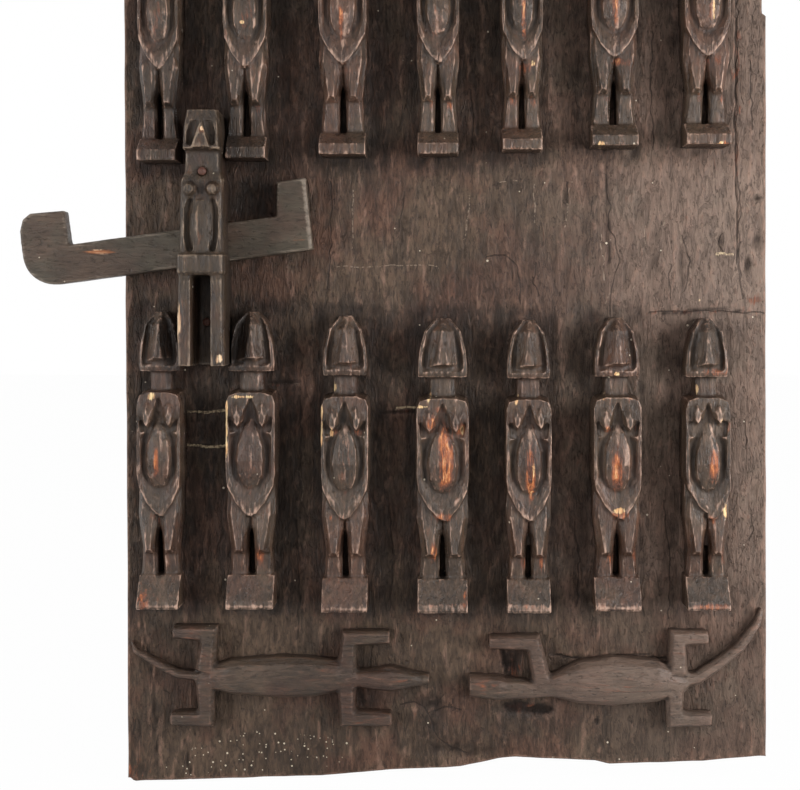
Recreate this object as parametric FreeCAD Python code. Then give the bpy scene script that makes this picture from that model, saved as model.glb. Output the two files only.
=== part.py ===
import FreeCAD, Part
import math
import os

from FreeCAD import Vector

# A carved granary door: one thick plank with two rows of standing figures and two reptiles in relief,
# and a wooden lock: an upright figure block pegged to the plank, with a flat bolt that slides behind it.
# Lengths are in millimetres. +X is to the right and +Z is up, seen from the front, which faces -Y.
# The origin is the middle of the plank's flat back face.

# Plank
door_width = 517.0
plank_thickness = 25.0
top_margin = 34.0
edge_bevel_width = 4.5
edge_bevel_depth = 3.0
corner_radius = 5.0
side_step = 3.2
side_step_length = 153.0

# Rows of figures: both rows fill the plank's width, and the lock has the bare band between them
figure_height = 232.0
figure_breadth_share = 0.0774
figure_relief = 28.0
lower_row_foot = 142.5
row_gap = 125.5

# Reptiles
reptile_length_share = 0.3985
reptile_breadth = 34.0
reptile_relief = 17.0
reptile_limb_relief = 12.5
reptile_limb_width = 13.0
tail_relief = 9.0

# Lock figure: the case of the lock
lock_height = 197.0
lock_breadth_share = 0.0725
lock_depth = 53.0
lock_drop = 38.5
lock_place_share = -0.3598
lock_head_clearance = 1.2
leg_slot_width = 11.0
leg_slot_mouth_width = 15.5
leg_slot_floor = 22.0

# Bolt
bolt_bar_height = 30.5
bolt_thickness = 14.0
bolt_tilt = 7.8
bolt_end_rise = 27.0
bolt_hook_length = 38.0
bolt_tab_length = 25.5
bolt_overhang = 38.0
bolt_tab_gap = 35.5
bolt_edge_bevel = 1.4
bolt_clearance = 0.5
bolt_edge_clearance = 0.4

# Pegs that hold the lock figure to the plank
peg_shaft_radius = 2.6
peg_head_radius = 3.4
peg_head_height = 3.0
peg_end_cover = 6.0
peg_clearance = 0.15
upper_peg_rise = 149.5
lower_peg_rise = 33.5
upper_peg_seat = 42.0

overrun = 2.0

upper_row_foot = lower_row_foot + figure_height + row_gap
door_height = upper_row_foot + figure_height + top_margin
plank_bottom = -door_height / 2
ground = -plank_thickness
figure_breadth = door_width * figure_breadth_share
reptile_length = door_width * reptile_length_share
lock_breadth = door_width * lock_breadth_share
lock_centre = door_width * lock_place_share
lock_left = lock_centre - lock_breadth / 2
lock_low = plank_bottom + lower_row_foot + figure_height - lock_drop
bolt_hook_reach = lock_left + door_width / 2 + bolt_overhang
bolt_bar_length = bolt_hook_reach + lock_breadth + bolt_tab_gap


def facet(points):
    """One flat face through a few points."""
    return Part.Face(Part.makePolygon(list(points) + [points[0]]))


def skin(sections):
    """A solid of flat knife facets through sections that have as many points each."""
    faces = [facet(sections[0]), facet(sections[-1])]
    for near, far in zip(sections, sections[1:]):
        for i in range(len(near)):
            j = (i + 1) % len(near)
            faces.append(facet((near[i], near[j], far[j])))
            faces.append(facet((near[i], far[j], far[i])))
    shell = Part.makeShell(faces)
    shell.sewShape()
    solid = Part.makeSolid(shell)
    if solid.Volume < 0:
        solid.reverse()
    return solid


def both_sides(half):
    """A whole outline from its right half, listed from the middle outwards and back to the middle."""
    return [(-x, y) for x, y in reversed(half)] + list(half)


def joined(pieces):
    """Solids that grow out of each other, fused and freed of their seams."""
    return pieces[0].fuse(pieces[1:]).removeSplitter()


def one_solid(shape):
    """The single solid of a shape, so that a file holds exactly one."""
    return max(shape.Solids, key=lambda solid: solid.Volume)


# Standing figure. Shares across are of the figure's breadth from its centre line,
# shares up are of its height from the ground, and shares out are of its relief from the plank.

# The head is a helmet: rim, hollow cheek and nose ridge at each level.
# Each row is: level, half width, rim height, hollow place, hollow height, ridge half width, ridge height.
head_level_shares = (
    (0.796, 0.44, 0.65, 0.29, 0.68, 0.13, 0.71),
    (0.815, 0.45, 0.69, 0.30, 0.72, 0.12, 0.77),
    (0.829, 0.45, 0.70, 0.31, 0.58, 0.10, 0.74),
    (0.843, 0.445, 0.71, 0.31, 0.54, 0.095, 0.95),
    (0.890, 0.42, 0.72, 0.290, 0.54, 0.05, 0.91),
    (0.955, 0.33, 0.69, 0.215, 0.57, 0.022, 0.82),
    (1.000, 0.13, 0.43, 0.07, 0.45, 0.02, 0.47),
)
cheek_rim_share = 0.84
helmet_side_share = 0.9
neck_half_shares = ((0.14, 0.56), (0.235, 0.44), (0.26, 0))
neck_level_shares = (0.71, 0.80)

# The trunk is a plate whose lower edge is the two forearms, meeting in a point.
trunk_half_shares = (
    (0.07, 0.298),
    (0.30, 0.345),
    (0.47, 0.405),
    (0.50, 0.45),
    (0.50, 0.702),
    (0.44, 0.730),
    (0.24, 0.741),
)
trunk_rise_share = 0.82
trunk_top_shrink_share = 0.94
trunk_middle_share = 0.53
wrist_share = 0.298
elbow_share = 0.448
hollow_top_half_shares = (
    (0.05, 0.322),
    (0.29, 0.366),
    (0.43, 0.43),
    (0.43, 0.585),
    (0.33, 0.608),
)
hollow_floor_half_shares = (
    (0.06, 0.400),
    (0.20, 0.416),
    (0.33, 0.460),
    (0.345, 0.570),
    (0.25, 0.592),
)
hollow_floor_share = 0.69
# The chest is hollowed under the breasts, with a notch that runs up between them.
chest_top_half_shares = (
    (0.03, 0.560),
    (0.41, 0.592),
    (0.43, 0.648),
    (0.13, 0.662),
    (0.03, 0.718),
)
chest_floor_half_shares = (
    (0.02, 0.570),
    (0.37, 0.602),
    (0.39, 0.640),
    (0.10, 0.652),
    (0.01, 0.700),
)
chest_floor_share = 0.71
belly_level_shares = (
    (0.396, 0.08, 0.66),
    (0.416, 0.19, 0.77),
    (0.452, 0.295, 0.88),
    (0.500, 0.325, 0.94),
    (0.550, 0.300, 0.92),
    (0.595, 0.20, 0.85),
    (0.640, 0.07, 0.73),
)
belly_crest_share = 0.28
belly_flank_share = 0.74
belly_flank_height_share = 0.76
belly_edge_share = 0.61
belly_root_share = 0.22

# Leg levels: level, outer edge, inner edge, crest height, crest half width, side height. The knee
# stands forward in a point, and the thighs close above it.
leg_level_shares = (
    (0.070, 0.44, 0.060, 0.50, 0.15, 0.37),
    (0.180, 0.40, 0.042, 0.60, 0.10, 0.43),
    (0.199, 0.39, 0.035, 0.88, 0.05, 0.50),
    (0.320, 0.475, 0.010, 0.77, 0.13, 0.57),
    (0.430, 0.46, 0.010, 0.60, 0.12, 0.44),
)

# The slit between the hands: half width, top level and floor.
slit_half_share = 0.028
slit_top_share = 0.345
slit_floor_share = 0.55

# The block under the feet slopes up from its front edge to the shins. Under the upper row its front
# edge is higher and its slope shorter.
block_half_share = 0.455
lower_block_shares = ((0, 0), (0.96, 0), (1.0, 0.012), (0.97, 0.030), (0.58, 0.110), (0, 0.110))
upper_block_shares = ((0, 0), (0.97, 0), (1.0, 0.008), (0.99, 0.038), (0.56, 0.080), (0, 0.080))

# A breast hangs from the shoulder to a proud tip. Its root outline starts at its top level, narrows to
# its cheeks and ends at its tip level, and its crown is a small facet just above the tip.
breast_root_share = 0.66
breast_cheek_half_share = 0.74
breast_shoulder_share = 0.02
breast_crest_share = 0.01
breast_cheek_share = 0.035
breast_crown_half_share = 0.06
breast_crown_shares = (0.042, 0.066, 0.020, 0.009)


def hexagon(half, levels):
    """Six points round a middle line: two shoulders below a crest, and two closer cheeks above a tip."""
    shoulder, crest, cheek, tip = levels
    low = half * breast_cheek_half_share
    return ((-half, shoulder), (0, crest), (half, shoulder), (low, cheek), (0, tip), (-low, cheek))


def figure(centre, foot, height, breadth, lean_share, breasts, block_shares):
    """One standing figure in relief, as one solid seated on the plank's front."""

    def at(across, out, up):
        return Vector(centre + across * breadth, ground - out * figure_relief, foot + up * height)

    def level(up, half):
        return [at(across, out, up) for across, out in both_sides(half)]

    head = []
    for up, wide, rim, hollow_place, hollow, nose, ridge in head_level_shares:
        rim_place = wide * cheek_rim_share
        side = (wide, rim * helmet_side_share)
        head.append(level(up, ((nose, ridge), (hollow_place, hollow), (rim_place, rim), side, (wide, 0))))

    neck = [level(up, neck_half_shares) for up in neck_level_shares]

    def plate(half_shares, out, shrink_share):
        points = []
        for across, up in both_sides(half_shares):
            leans = lean_share * (1 - min(1, (up - wrist_share) / (elbow_share - wrist_share)))
            rise = trunk_middle_share + (up - trunk_middle_share) * shrink_share
            points.append(at(across * shrink_share + leans, out, rise))
        return points

    root = plate(trunk_half_shares, 0, 1)
    top = plate(trunk_half_shares, trunk_rise_share, trunk_top_shrink_share)
    trunk = skin([root, top])
    over = trunk_rise_share + overrun / figure_relief
    floor = plate(hollow_floor_half_shares, hollow_floor_share, 1)
    mouth = plate(hollow_top_half_shares, over, 1)
    chest_floor = plate(chest_floor_half_shares, chest_floor_share, 1)
    chest_mouth = plate(chest_top_half_shares, over, 1)
    slit = []
    for up in (wrist_share - overrun / height, slit_top_share):
        corners = ((-slit_half_share, over), (slit_half_share, over), (0, slit_floor_share))
        slit.append([at(lean_share + across, out, up) for across, out in corners])
    trunk = trunk.cut([skin([floor, mouth]), skin([chest_floor, chest_mouth]), skin(slit)])

    belly = []
    for up, wide, out in belly_level_shares:
        flank = hollow_floor_share + (out - hollow_floor_share) * belly_flank_height_share
        crest = wide * belly_crest_share
        side = wide * belly_flank_share
        half = ((crest, out), (side, flank), (wide, belly_edge_share), (wide, belly_root_share))
        belly.append(level(up, half))

    legs = []
    for side in (-1, 1):
        rows = []
        for up, outer, inner, crest, crest_half, side_rise in leg_level_shares:
            middle = (outer + inner) / 2
            ring = (
                (outer, 0),
                (outer, side_rise),
                (middle + crest_half, crest),
                (middle - crest_half, crest),
                (inner, side_rise),
                (inner, 0),
            )
            rows.append([at(side * across, out, up) for across, out in ring])
        legs.append(skin(rows))

    block_ends = []
    for side in (-1, 1):
        block_ends.append([at(side * block_half_share, out, up) for out, up in block_shares])
    block = skin(block_ends)

    half_wide, top, tip, tip_out, place = breasts
    shoulder = top - breast_shoulder_share
    cheek = tip + breast_cheek_share
    root = hexagon(half_wide, (shoulder, top + breast_crest_share, cheek, tip))
    crown = hexagon(breast_crown_half_share, [tip + share for share in breast_crown_shares])
    chest = []
    for side in (-1, 1):
        low = [at(side * place + across, breast_root_share, up) for across, up in root]
        high = [at(side * place + across, tip_out, up) for across, up in crown]
        chest.append(skin([low, high]))

    return one_solid(joined([trunk, skin(head), skin(neck), skin(belly), block] + legs + chest))


# Breasts: half width, top level, tip level, height of the tip, and the tip's place from the middle.
pointed_shares = (0.215, 0.727, 0.604, 1.00, 0.235)
small_shares = (0.205, 0.722, 0.618, 0.97, 0.24)
close_shares = (0.215, 0.727, 0.606, 1.00, 0.225)
blunt_shares = (0.225, 0.722, 0.630, 0.97, 0.23)

# Each figure: centre (share of the door's width), breadth, rise of its ground block and height (shares of
# the figure's breadth and height), sideways lean of the forearms' point, and its breasts.
lower_figure_shares = (
    (-0.4335, 0.92, 0.010, 1.005, 0.03, pointed_shares),
    (-0.2945, 1.04, 0.010, 1.005, 0.00, pointed_shares),
    (-0.1515, 1.00, 0.000, 1.000, 0.00, pointed_shares),
    (-0.0030, 1.10, -0.003, 0.995, 0.02, pointed_shares),
    (0.1280, 0.96, -0.003, 0.990, 0.02, small_shares),
    (0.2625, 1.01, 0.004, 0.990, 0.04, close_shares),
    (0.3995, 0.94, 0.006, 0.985, 0.12, blunt_shares),
)
upper_figure_shares = (
    (-0.4350, 0.86, -0.020, 1.000, 0.02, pointed_shares),
    (-0.3030, 0.93, -0.012, 1.000, 0.00, pointed_shares),
    (-0.1550, 1.02, 0.000, 1.000, 0.00, pointed_shares),
    (-0.0100, 0.90, 0.002, 1.000, 0.02, pointed_shares),
    (0.1180, 0.88, 0.016, 0.985, 0.02, small_shares),
    (0.2580, 1.01, 0.030, 0.970, 0.00, close_shares),
    (0.3990, 0.98, 0.034, 0.968, 0.00, blunt_shares),
)


def row_of_figures(name, foot, shares, block_shares):
    """The seven figures of a row, each under its own name."""
    made = {}
    for number, (centre, breadth, rise, height, lean, breasts) in enumerate(shares, start=1):
        low = plank_bottom + foot + rise * figure_height
        made[f"{name}_{number}"] = figure(
            centre * door_width,
            low,
            height * figure_height,
            breadth * figure_breadth,
            lean,
            breasts,
            block_shares,
        )
    return made


# Plank outline: the bottom edge is worn in waves. Shares are of the width from the left
# and of the height from the bottom.
bottom_edge_shares = (
    (0.075, 0.0015),
    (0.31, 0.0060),
    (0.415, 0.0120),
    (0.525, 0.0155),
    (0.585, 0.0240),
    (0.61, 0.0255),
    (0.68, 0.0235),
    (0.735, 0.0215),
    (0.755, 0.0180),
    (0.90, 0.0215),
    (0.993, 0.0265),
    (1.000, 0.0330),
)
left_foot_share = 0.008


def plank():
    """The door leaf: an adzed plank with a worn foot, a stepped right edge and a bevelled left arris."""

    def at(across, up):
        return Vector(across * door_width - door_width / 2, 0, plank_bottom + up * door_height)

    step = Vector(side_step, 0, 0)
    drop = Vector(0, 0, -side_step_length)
    low_left = at(left_foot_share, 0)
    top_right = at(1, 1) - step
    points = [
        at(0, 1),
        low_left + Vector(0, 0, corner_radius),
        low_left + Vector(corner_radius, 0, 0),
    ]
    points += [at(across, up) for across, up in bottom_edge_shares]
    points += [top_right + step + drop, top_right + drop, top_right]
    body = facet(points).extrude(Vector(0, ground, 0))
    bevel = facet((
        at(0, 1) + Vector(-overrun, ground - overrun, overrun),
        at(0, 1) + Vector(edge_bevel_width, ground - overrun, overrun),
        at(0, 1) + Vector(edge_bevel_width, ground, overrun),
        at(0, 1) + Vector(0, ground + edge_bevel_depth, overrun),
        at(0, 1) + Vector(-overrun, ground + edge_bevel_depth, overrun),
    ))
    slide = at(left_foot_share, 0) - at(0, 1)
    return body.cut(bevel.extrude(slide + Vector(0, 0, -2 * overrun)))


shoulder_share = 0.62


def ridge_bar(points, halves, rises, crown_share):
    """A bar with a bevelled top that follows a few points on the plank and turns in mitred corners.

    Each point has its own half width and rise, and the flat crown takes a share of the width.
    """
    rows = []
    last = len(points) - 1
    for i, point in enumerate(points):
        before = points[max(i - 1, 0)]
        after = points[min(i + 1, last)]
        arrive = point - before
        leave = after - point
        if i == 0:
            arrive = leave
        if i == last:
            leave = arrive
        arrive = arrive / arrive.Length
        leave = leave / leave.Length
        across = (arrive + leave).cross(Vector(0, 1, 0))
        across = across / across.Length
        stretch = 1 / math.cos(arrive.getAngle(leave) / 2)
        side = across * halves[i] * stretch
        out = Vector(0, -rises[i], 0)
        crown = side * crown_share
        rows.append([
            point + side,
            point + side + out * shoulder_share,
            point + crown + out,
            point - crown + out,
            point - side + out * shoulder_share,
            point - side,
        ])
    return skin(rows)


# Reptile. Shares along are of its length from the middle towards the snout, and shares across are
# of its breadth from the body's line. Each body row is: place along, lean of the middle line,
# half width, rise as a share of the relief.
left_body_shares = (
    (-0.405, -0.02, 0.13, 0.60),
    (-0.340, -0.02, 0.29, 0.78),
    (-0.270, 0.00, 0.41, 0.92),
    (-0.083, 0.00, 0.50, 1.00),
    (0.062, 0.00, 0.47, 1.00),
    (0.142, 0.02, 0.38, 0.94),
    (0.226, -0.05, 0.21, 0.72),
    (0.291, -0.06, 0.26, 0.84),
    (0.348, -0.05, 0.31, 0.92),
    (0.432, -0.06, 0.20, 0.78),
    (0.500, -0.07, 0.13, 0.60),
)
right_body_shares = (
    (-0.402, -0.02, 0.22, 0.62),
    (-0.366, -0.02, 0.28, 0.74),
    (-0.280, 0.02, 0.50, 0.94),
    (-0.088, 0.02, 0.59, 1.00),
    (0.047, -0.02, 0.50, 1.00),
    (0.157, -0.09, 0.28, 0.88),
    (0.219, -0.19, 0.21, 0.76),
    (0.350, -0.17, 0.27, 0.80),
    (0.375, -0.15, 0.30, 0.86),
    (0.500, -0.10, 0.28, 0.66),
)
# Half of the body's outline, from its foot on the plank to its crown: share of the half width, share of
# the rise.
body_ring_shares = ((1.0, 0), (0.98, 0.50), (0.72, 0.86), (0.24, 1.0))

# Each limb runs from the body to its knee and out to its toe.
left_limb_shares = (
    ((-0.366, 0.15), (-0.350, 1.02), (-0.492, 1.05)),
    ((-0.366, -0.12), (-0.362, -0.98), (-0.500, -0.98)),
    ((0.180, 0.15), (0.190, 0.91), (0.348, 0.92)),
    ((0.180, -0.15), (0.184, -0.97), (0.356, -0.99)),
)
right_limb_shares = (
    ((-0.362, 0.20), (-0.362, 1.03), (-0.488, 1.03)),
    ((-0.349, -0.12), (-0.349, -0.88), (-0.501, -0.88)),
    ((0.198, 0.00), (0.235, 0.92), (0.419, 0.92)),
)
limb_half_shares = (0.62, 0.52, 0.45)
limb_rise_shares = (1.0, 0.96, 0.85)
limb_crown_share = 0.6

# Each tail row is: place along, place across, half width, rise as a share of the tail's relief.
left_tail_shares = (
    (-0.380, 0.000, 0.125, 1.10),
    (-0.477, 0.047, 0.115, 1.00),
    (-0.558, 0.302, 0.095, 0.85),
    (-0.639, 0.580, 0.070, 0.65),
    (-0.656, 0.812, 0.035, 0.40),
)
right_tail_shares = (
    (-0.330, -0.030, 0.24, 1.20),
    (-0.443, 0.070, 0.16, 1.10),
    (-0.533, 0.394, 0.14, 1.00),
    (-0.622, 0.795, 0.13, 0.90),
    (-0.693, 1.345, 0.10, 0.75),
    (-0.712, 1.700, 0.06, 0.45),
)
tail_crown_share = 0.4

left_reptile_place_share = -0.222
left_reptile_line = 87.3
right_reptile_place_share = 0.224
right_reptile_line = 83.4
right_reptile_length_share = 0.936


def reptile(centre, line, facing, length, body_rows, limbs, tail_rows):
    """One reptile in relief: body, head, tail and the limbs that are left, as one solid."""

    def at(along, across, out=0):
        rise = plank_bottom + line + across * reptile_breadth
        return Vector(centre + facing * along * length, ground - out, rise)

    trunk = []
    for along, lean, half, rise in body_rows:
        ring = []
        for across, height in body_ring_shares:
            ring.append(at(along, lean + across * half, height * rise * reptile_relief))
        for across, height in reversed(body_ring_shares):
            ring.append(at(along, lean - across * half, height * rise * reptile_relief))
        trunk.append(ring)

    pieces = [skin(trunk)]
    for limb in limbs:
        points = [at(along, across) for along, across in limb]
        halves = [share * reptile_limb_width for share in limb_half_shares]
        rises = [share * reptile_limb_relief for share in limb_rise_shares]
        pieces.append(ridge_bar(points, halves, rises, limb_crown_share))

    points = [at(along, across) for along, across, half, rise in tail_rows]
    halves = [half * reptile_breadth for along, across, half, rise in tail_rows]
    rises = [rise * tail_relief for along, across, half, rise in tail_rows]
    pieces.append(ridge_bar(points, halves, rises, tail_crown_share))
    return one_solid(joined(pieces))


# Lock figure. Shares across are of the lock's breadth from its centre line, shares out are
# of its depth from the plank, and shares up are of its height from its foot.
# The block's outline: level, half width at the front, depth.
lock_core_shares = (
    (0.000, 0.50, 0.97),
    (0.330, 0.48, 0.97),
    (0.352, 0.48, 0.95),
    (0.365, 0.50, 1.00),
    (0.432, 0.50, 1.00),
    (0.440, 0.46, 0.93),
    (0.640, 0.45, 0.90),
    (0.725, 0.45, 0.86),
    (0.757, 0.38, 0.80),
    (0.835, 0.36, 0.84),
    (0.845, 0.39, 0.96),
    (0.930, 0.37, 0.92),
    (1.000, 0.33, 0.84),
)
lock_side_bevel_share = 0.90
lock_side_depth_share = 0.92
lock_back_share = 0.88

channel_rise = 94.6
channel_depth = bolt_thickness + 2 * bolt_clearance
tilt = math.radians(bolt_tilt)
channel_height = bolt_bar_height / math.cos(tilt) + lock_breadth * math.tan(tilt) + 2 * bolt_edge_clearance


def lock_at(across, out, up):
    return Vector(lock_centre + across * lock_breadth, ground - out * lock_depth, lock_low + up * lock_height)


def lock_core(room=0.0):
    """The block that the lock figure is carved from, or the room that it needs with a clearance round it."""
    rows = []
    wider = room / lock_breadth
    higher = room / lock_height
    for up, half, out in lock_core_shares:
        if up == 0:
            up = -higher
        if up == 1:
            up = 1 + higher
        half = half + wider
        ring = (
            (half * lock_side_bevel_share, out),
            (half, out * lock_side_depth_share),
            (half * lock_back_share, 0),
        )
        rows.append([lock_at(across, height, up) for across, height in both_sides(ring)])
    return skin(rows)


lock_belly_shares = (
    (0.438, 0.18, 0.86),
    (0.470, 0.25, 0.93),
    (0.530, 0.27, 0.97),
    (0.590, 0.26, 0.96),
    (0.645, 0.21, 0.92),
)
lock_crest_share = 0.3
lock_flank_share = 0.86
lock_flank_height_share = 0.93
lock_root_share = 0.55
lock_waist_floor_share = 0.84
lock_waist_shares = ((0.17, 0.447), (0.29, 0.447), (0.335, 0.50), (0.335, 0.61), (0.27, 0.650), (0.17, 0.650))
lock_breast_shares = (0.235, 0.688, 0.17, 1.02)
lock_breast_ring_shares = ((1.0, 0.7), (0.95, 0.88), (0.62, 0.98), (0.2, 1.0))
lock_breast_facets = 8
lock_brow_shares = ((0.03, 0.858), (0.28, 0.858), (0.28, 0.91), (0.22, 0.955), (0.03, 0.955))
lock_brow_floor_share = 0.865
lock_ridge_shares = ((0.847, 0.23, 0.99), (0.860, 0.20, 1.0), (0.935, 0.05, 0.97), (0.985, 0.03, 0.86))
lock_ridge_crest_share = 0.85
lock_leg_top_share = 0.352


def lock_figure():
    """The lock's case: a block carved as a standing woman, open at its back for the bolt."""
    body = lock_core()

    belly = []
    for up, wide, out in lock_belly_shares:
        crest = wide * lock_crest_share
        flank = (wide * lock_flank_share, out * lock_flank_height_share)
        half = ((crest, out), flank, (wide, lock_waist_floor_share), (wide, lock_root_share))
        belly.append([lock_at(across, height, up) for across, height in both_sides(half)])

    for side in (-1, 1):
        floor = [lock_at(side * across, lock_waist_floor_share, up) for across, up in lock_waist_shares]
        pocket = facet(floor).extrude(Vector(0, -lock_depth, 0))
        body = body.cut(pocket)
        floor = [lock_at(side * across, lock_brow_floor_share, up) for across, up in lock_brow_shares]
        brow = facet(floor).extrude(Vector(0, -lock_depth, 0))
        body = body.cut(brow)

    place, up, half, out = lock_breast_shares
    breasts = []
    for side in (-1, 1):
        rings = []
        for wide, rise in lock_breast_ring_shares:
            ring = []
            for step in range(lock_breast_facets):
                turn = math.pi * (2 * step + 1) / lock_breast_facets
                across = side * place + wide * half * math.cos(turn)
                high = up + wide * half * math.sin(turn) * lock_breadth / lock_height
                ring.append(lock_at(across, rise * out, high))
            rings.append(ring)
        breasts.append(skin(rings))

    ridge = []
    for up, wide, out in lock_ridge_shares:
        half = ((wide * lock_ridge_crest_share, out), (wide, lock_brow_floor_share), (wide, lock_root_share))
        ridge.append([lock_at(across, height, up) for across, height in both_sides(half)])

    body = joined([body, skin(belly), skin(ridge)] + breasts)

    slot_halves = ((leg_slot_width / 2, leg_slot_floor), (leg_slot_mouth_width / 2, lock_depth + overrun))
    slot_ring = []
    for x, out in both_sides(slot_halves):
        slot_ring.append(Vector(lock_centre + x, ground - out, lock_low - overrun))
    slot = facet(slot_ring).extrude(Vector(0, 0, lock_leg_top_share * lock_height + overrun))
    channel = Part.makeBox(
        lock_breadth + 2 * overrun,
        channel_depth + overrun,
        channel_height,
        Vector(lock_left - overrun, ground - channel_depth, lock_low + channel_rise - channel_height / 2),
    )
    body = body.cut([slot, channel] + peg_holes())
    return one_solid(body.removeSplitter())


peg_rim_share = 0.6
peg_crown_share = 0.55


def peg(rise, seat, room=0.0):
    """A round peg with a low domed head, or its hole with a clearance round it.

    The head bears on the lock figure at its seat, and the shaft ends inside the plank.
    """
    radius = peg_shaft_radius + room
    head = peg_head_radius + room
    end = plank_thickness - peg_end_cover + room
    crown = peg_head_height
    if room > 0:
        crown = lock_depth
    profile = [
        Vector(0, end, 0),
        Vector(radius, end, 0),
        Vector(radius, -seat, 0),
        Vector(head, -seat, 0),
        Vector(head, -seat - crown * peg_rim_share, 0),
        Vector(head * peg_crown_share, -seat - crown, 0),
        Vector(0, -seat - crown, 0),
    ]
    turned = one_solid(facet(profile).revolve(Vector(0, 0, 0), Vector(0, 1, 0), 360))
    turned.translate(Vector(lock_centre, ground, lock_low + rise))
    return turned


def peg_holes():
    """The holes for both pegs, through the lock figure and into the plank."""
    upper = peg(upper_peg_rise, upper_peg_seat, peg_clearance)
    lower = peg(lower_peg_rise, leg_slot_floor, peg_clearance)
    return [upper, lower]


# Bolt. Its own u runs along the bar to the right and its v across the bar upwards, from the
# inner corner of the hook.
hook_corner_shares = (
    (0.0, 1.0),
    (-0.73, 1.05),
    (-0.90, 0.90),
    (-0.99, 0.58),
    (-1.0, 0.25),
)
hook_turn_shares = ((-1.0, -0.10), (-0.80, -0.76), (-0.33, -1.0))
tab_lean = 4.0


def bolt():
    """The sliding bar with its two upstanding ends."""
    bolt_x = lock_left - bolt_hook_reach
    centre_run = (lock_centre - bolt_x - bolt_bar_height / 2 * math.sin(tilt)) / math.cos(tilt)
    bolt_z = lock_low + channel_rise - centre_run * math.sin(tilt) + bolt_bar_height / 2 * math.cos(tilt)

    def at(u, v):
        x = bolt_x + u * math.cos(tilt) - v * math.sin(tilt)
        z = bolt_z + u * math.sin(tilt) + v * math.cos(tilt)
        return Vector(x, ground - bolt_clearance, z)

    hook = [at(u * bolt_hook_length, v * bolt_end_rise) for u, v in hook_corner_shares]
    turn = [at(u * bolt_hook_length, v * bolt_bar_height) for u, v in hook_turn_shares]
    end = bolt_bar_length + bolt_tab_length
    tab = [
        at(end, -bolt_bar_height),
        at(end + tab_lean / 2, bolt_end_rise),
        at(bolt_bar_length + tab_lean, bolt_end_rise),
        at(bolt_bar_length, 0),
        at(0, 0),
    ]
    edges = [Part.makeLine(a, b) for a, b in zip(hook, hook[1:] + turn[:1])]
    edges.append(Part.Arc(turn[0], turn[1], turn[2]).toShape())
    edges += [Part.makeLine(a, b) for a, b in zip(turn[-1:] + tab, tab + hook[:1])]
    bar = Part.Face(Part.Wire(edges)).extrude(Vector(0, -bolt_thickness, 0))
    front = ground - bolt_clearance - bolt_thickness
    rim = [edge for edge in bar.Edges if edge.BoundBox.YMax < front + bolt_clearance]
    return one_solid(bar.makeChamfer(bolt_edge_bevel, rim))


nodes = {}
nodes.update(row_of_figures("figure_upper", upper_row_foot, upper_figure_shares, upper_block_shares))
nodes.update(row_of_figures("figure_lower", lower_row_foot, lower_figure_shares, lower_block_shares))
lock_room = lock_core(lock_head_clearance)
for name in ("figure_upper_1", "figure_upper_2", "figure_lower_1", "figure_lower_2"):
    nodes[name] = one_solid(nodes[name].cut(lock_room))

nodes["reptile_left"] = reptile(
    door_width * left_reptile_place_share,
    left_reptile_line,
    1,
    reptile_length,
    left_body_shares,
    left_limb_shares,
    left_tail_shares,
)
nodes["reptile_right"] = reptile(
    door_width * right_reptile_place_share,
    right_reptile_line,
    -1,
    reptile_length * right_reptile_length_share,
    right_body_shares,
    right_limb_shares,
    right_tail_shares,
)
nodes["lock_figure"] = lock_figure()
nodes["lock_bolt"] = bolt()
nodes["lock_peg_upper"] = peg(upper_peg_rise, upper_peg_seat)
nodes["lock_peg_lower"] = peg(lower_peg_rise, leg_slot_floor)
nodes["door_panel"] = one_solid(plank().cut(peg_holes()))

os.makedirs("parts", exist_ok=True)
for name, shape in nodes.items():
    shape.exportStep(f"parts/{name}.step")
    print(name, len(shape.Solids), shape.isValid(), len(shape.Faces), round(shape.Volume))
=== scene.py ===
# %% [markdown]
# # A carved granary door
#
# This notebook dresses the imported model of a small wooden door: one thick plank with two rows of standing
# figures and two reptiles in relief, and a wooden lock whose case is itself a figure, with a bolt behind it.
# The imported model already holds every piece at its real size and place, so nothing is placed by eye here.
# The work is in the surface: knife and adze marks, grain, cracks, rot, and edges rubbed by hands.

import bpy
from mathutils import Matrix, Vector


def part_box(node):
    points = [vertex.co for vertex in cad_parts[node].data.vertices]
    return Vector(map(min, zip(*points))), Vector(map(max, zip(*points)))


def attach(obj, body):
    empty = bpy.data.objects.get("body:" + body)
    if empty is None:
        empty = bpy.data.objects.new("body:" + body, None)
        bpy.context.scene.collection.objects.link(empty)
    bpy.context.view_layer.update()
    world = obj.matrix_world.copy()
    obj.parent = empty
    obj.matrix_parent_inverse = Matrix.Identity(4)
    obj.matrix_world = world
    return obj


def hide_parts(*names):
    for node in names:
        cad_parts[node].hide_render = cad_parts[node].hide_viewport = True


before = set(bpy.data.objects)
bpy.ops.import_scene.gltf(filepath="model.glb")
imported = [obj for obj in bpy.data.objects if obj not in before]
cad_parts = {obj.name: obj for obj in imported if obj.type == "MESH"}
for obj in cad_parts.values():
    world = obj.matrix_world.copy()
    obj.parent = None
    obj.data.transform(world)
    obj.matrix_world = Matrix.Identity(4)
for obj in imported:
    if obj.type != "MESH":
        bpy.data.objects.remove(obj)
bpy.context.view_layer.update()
print("pieces in the packed model:", len(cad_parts))

# %% Modules and units
import math
from functools import partial
from itertools import product

import bmesh
import bpy
import numpy as np
from mathutils import Vector
from mathutils.bvhtree import BVHTree

MM = 0.001
scene = bpy.context.scene
collection = scene.collection


def mm(*lengths):
    """Lengths given in millimetres, turned into metres."""
    return tuple(length * MM for length in lengths)


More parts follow.
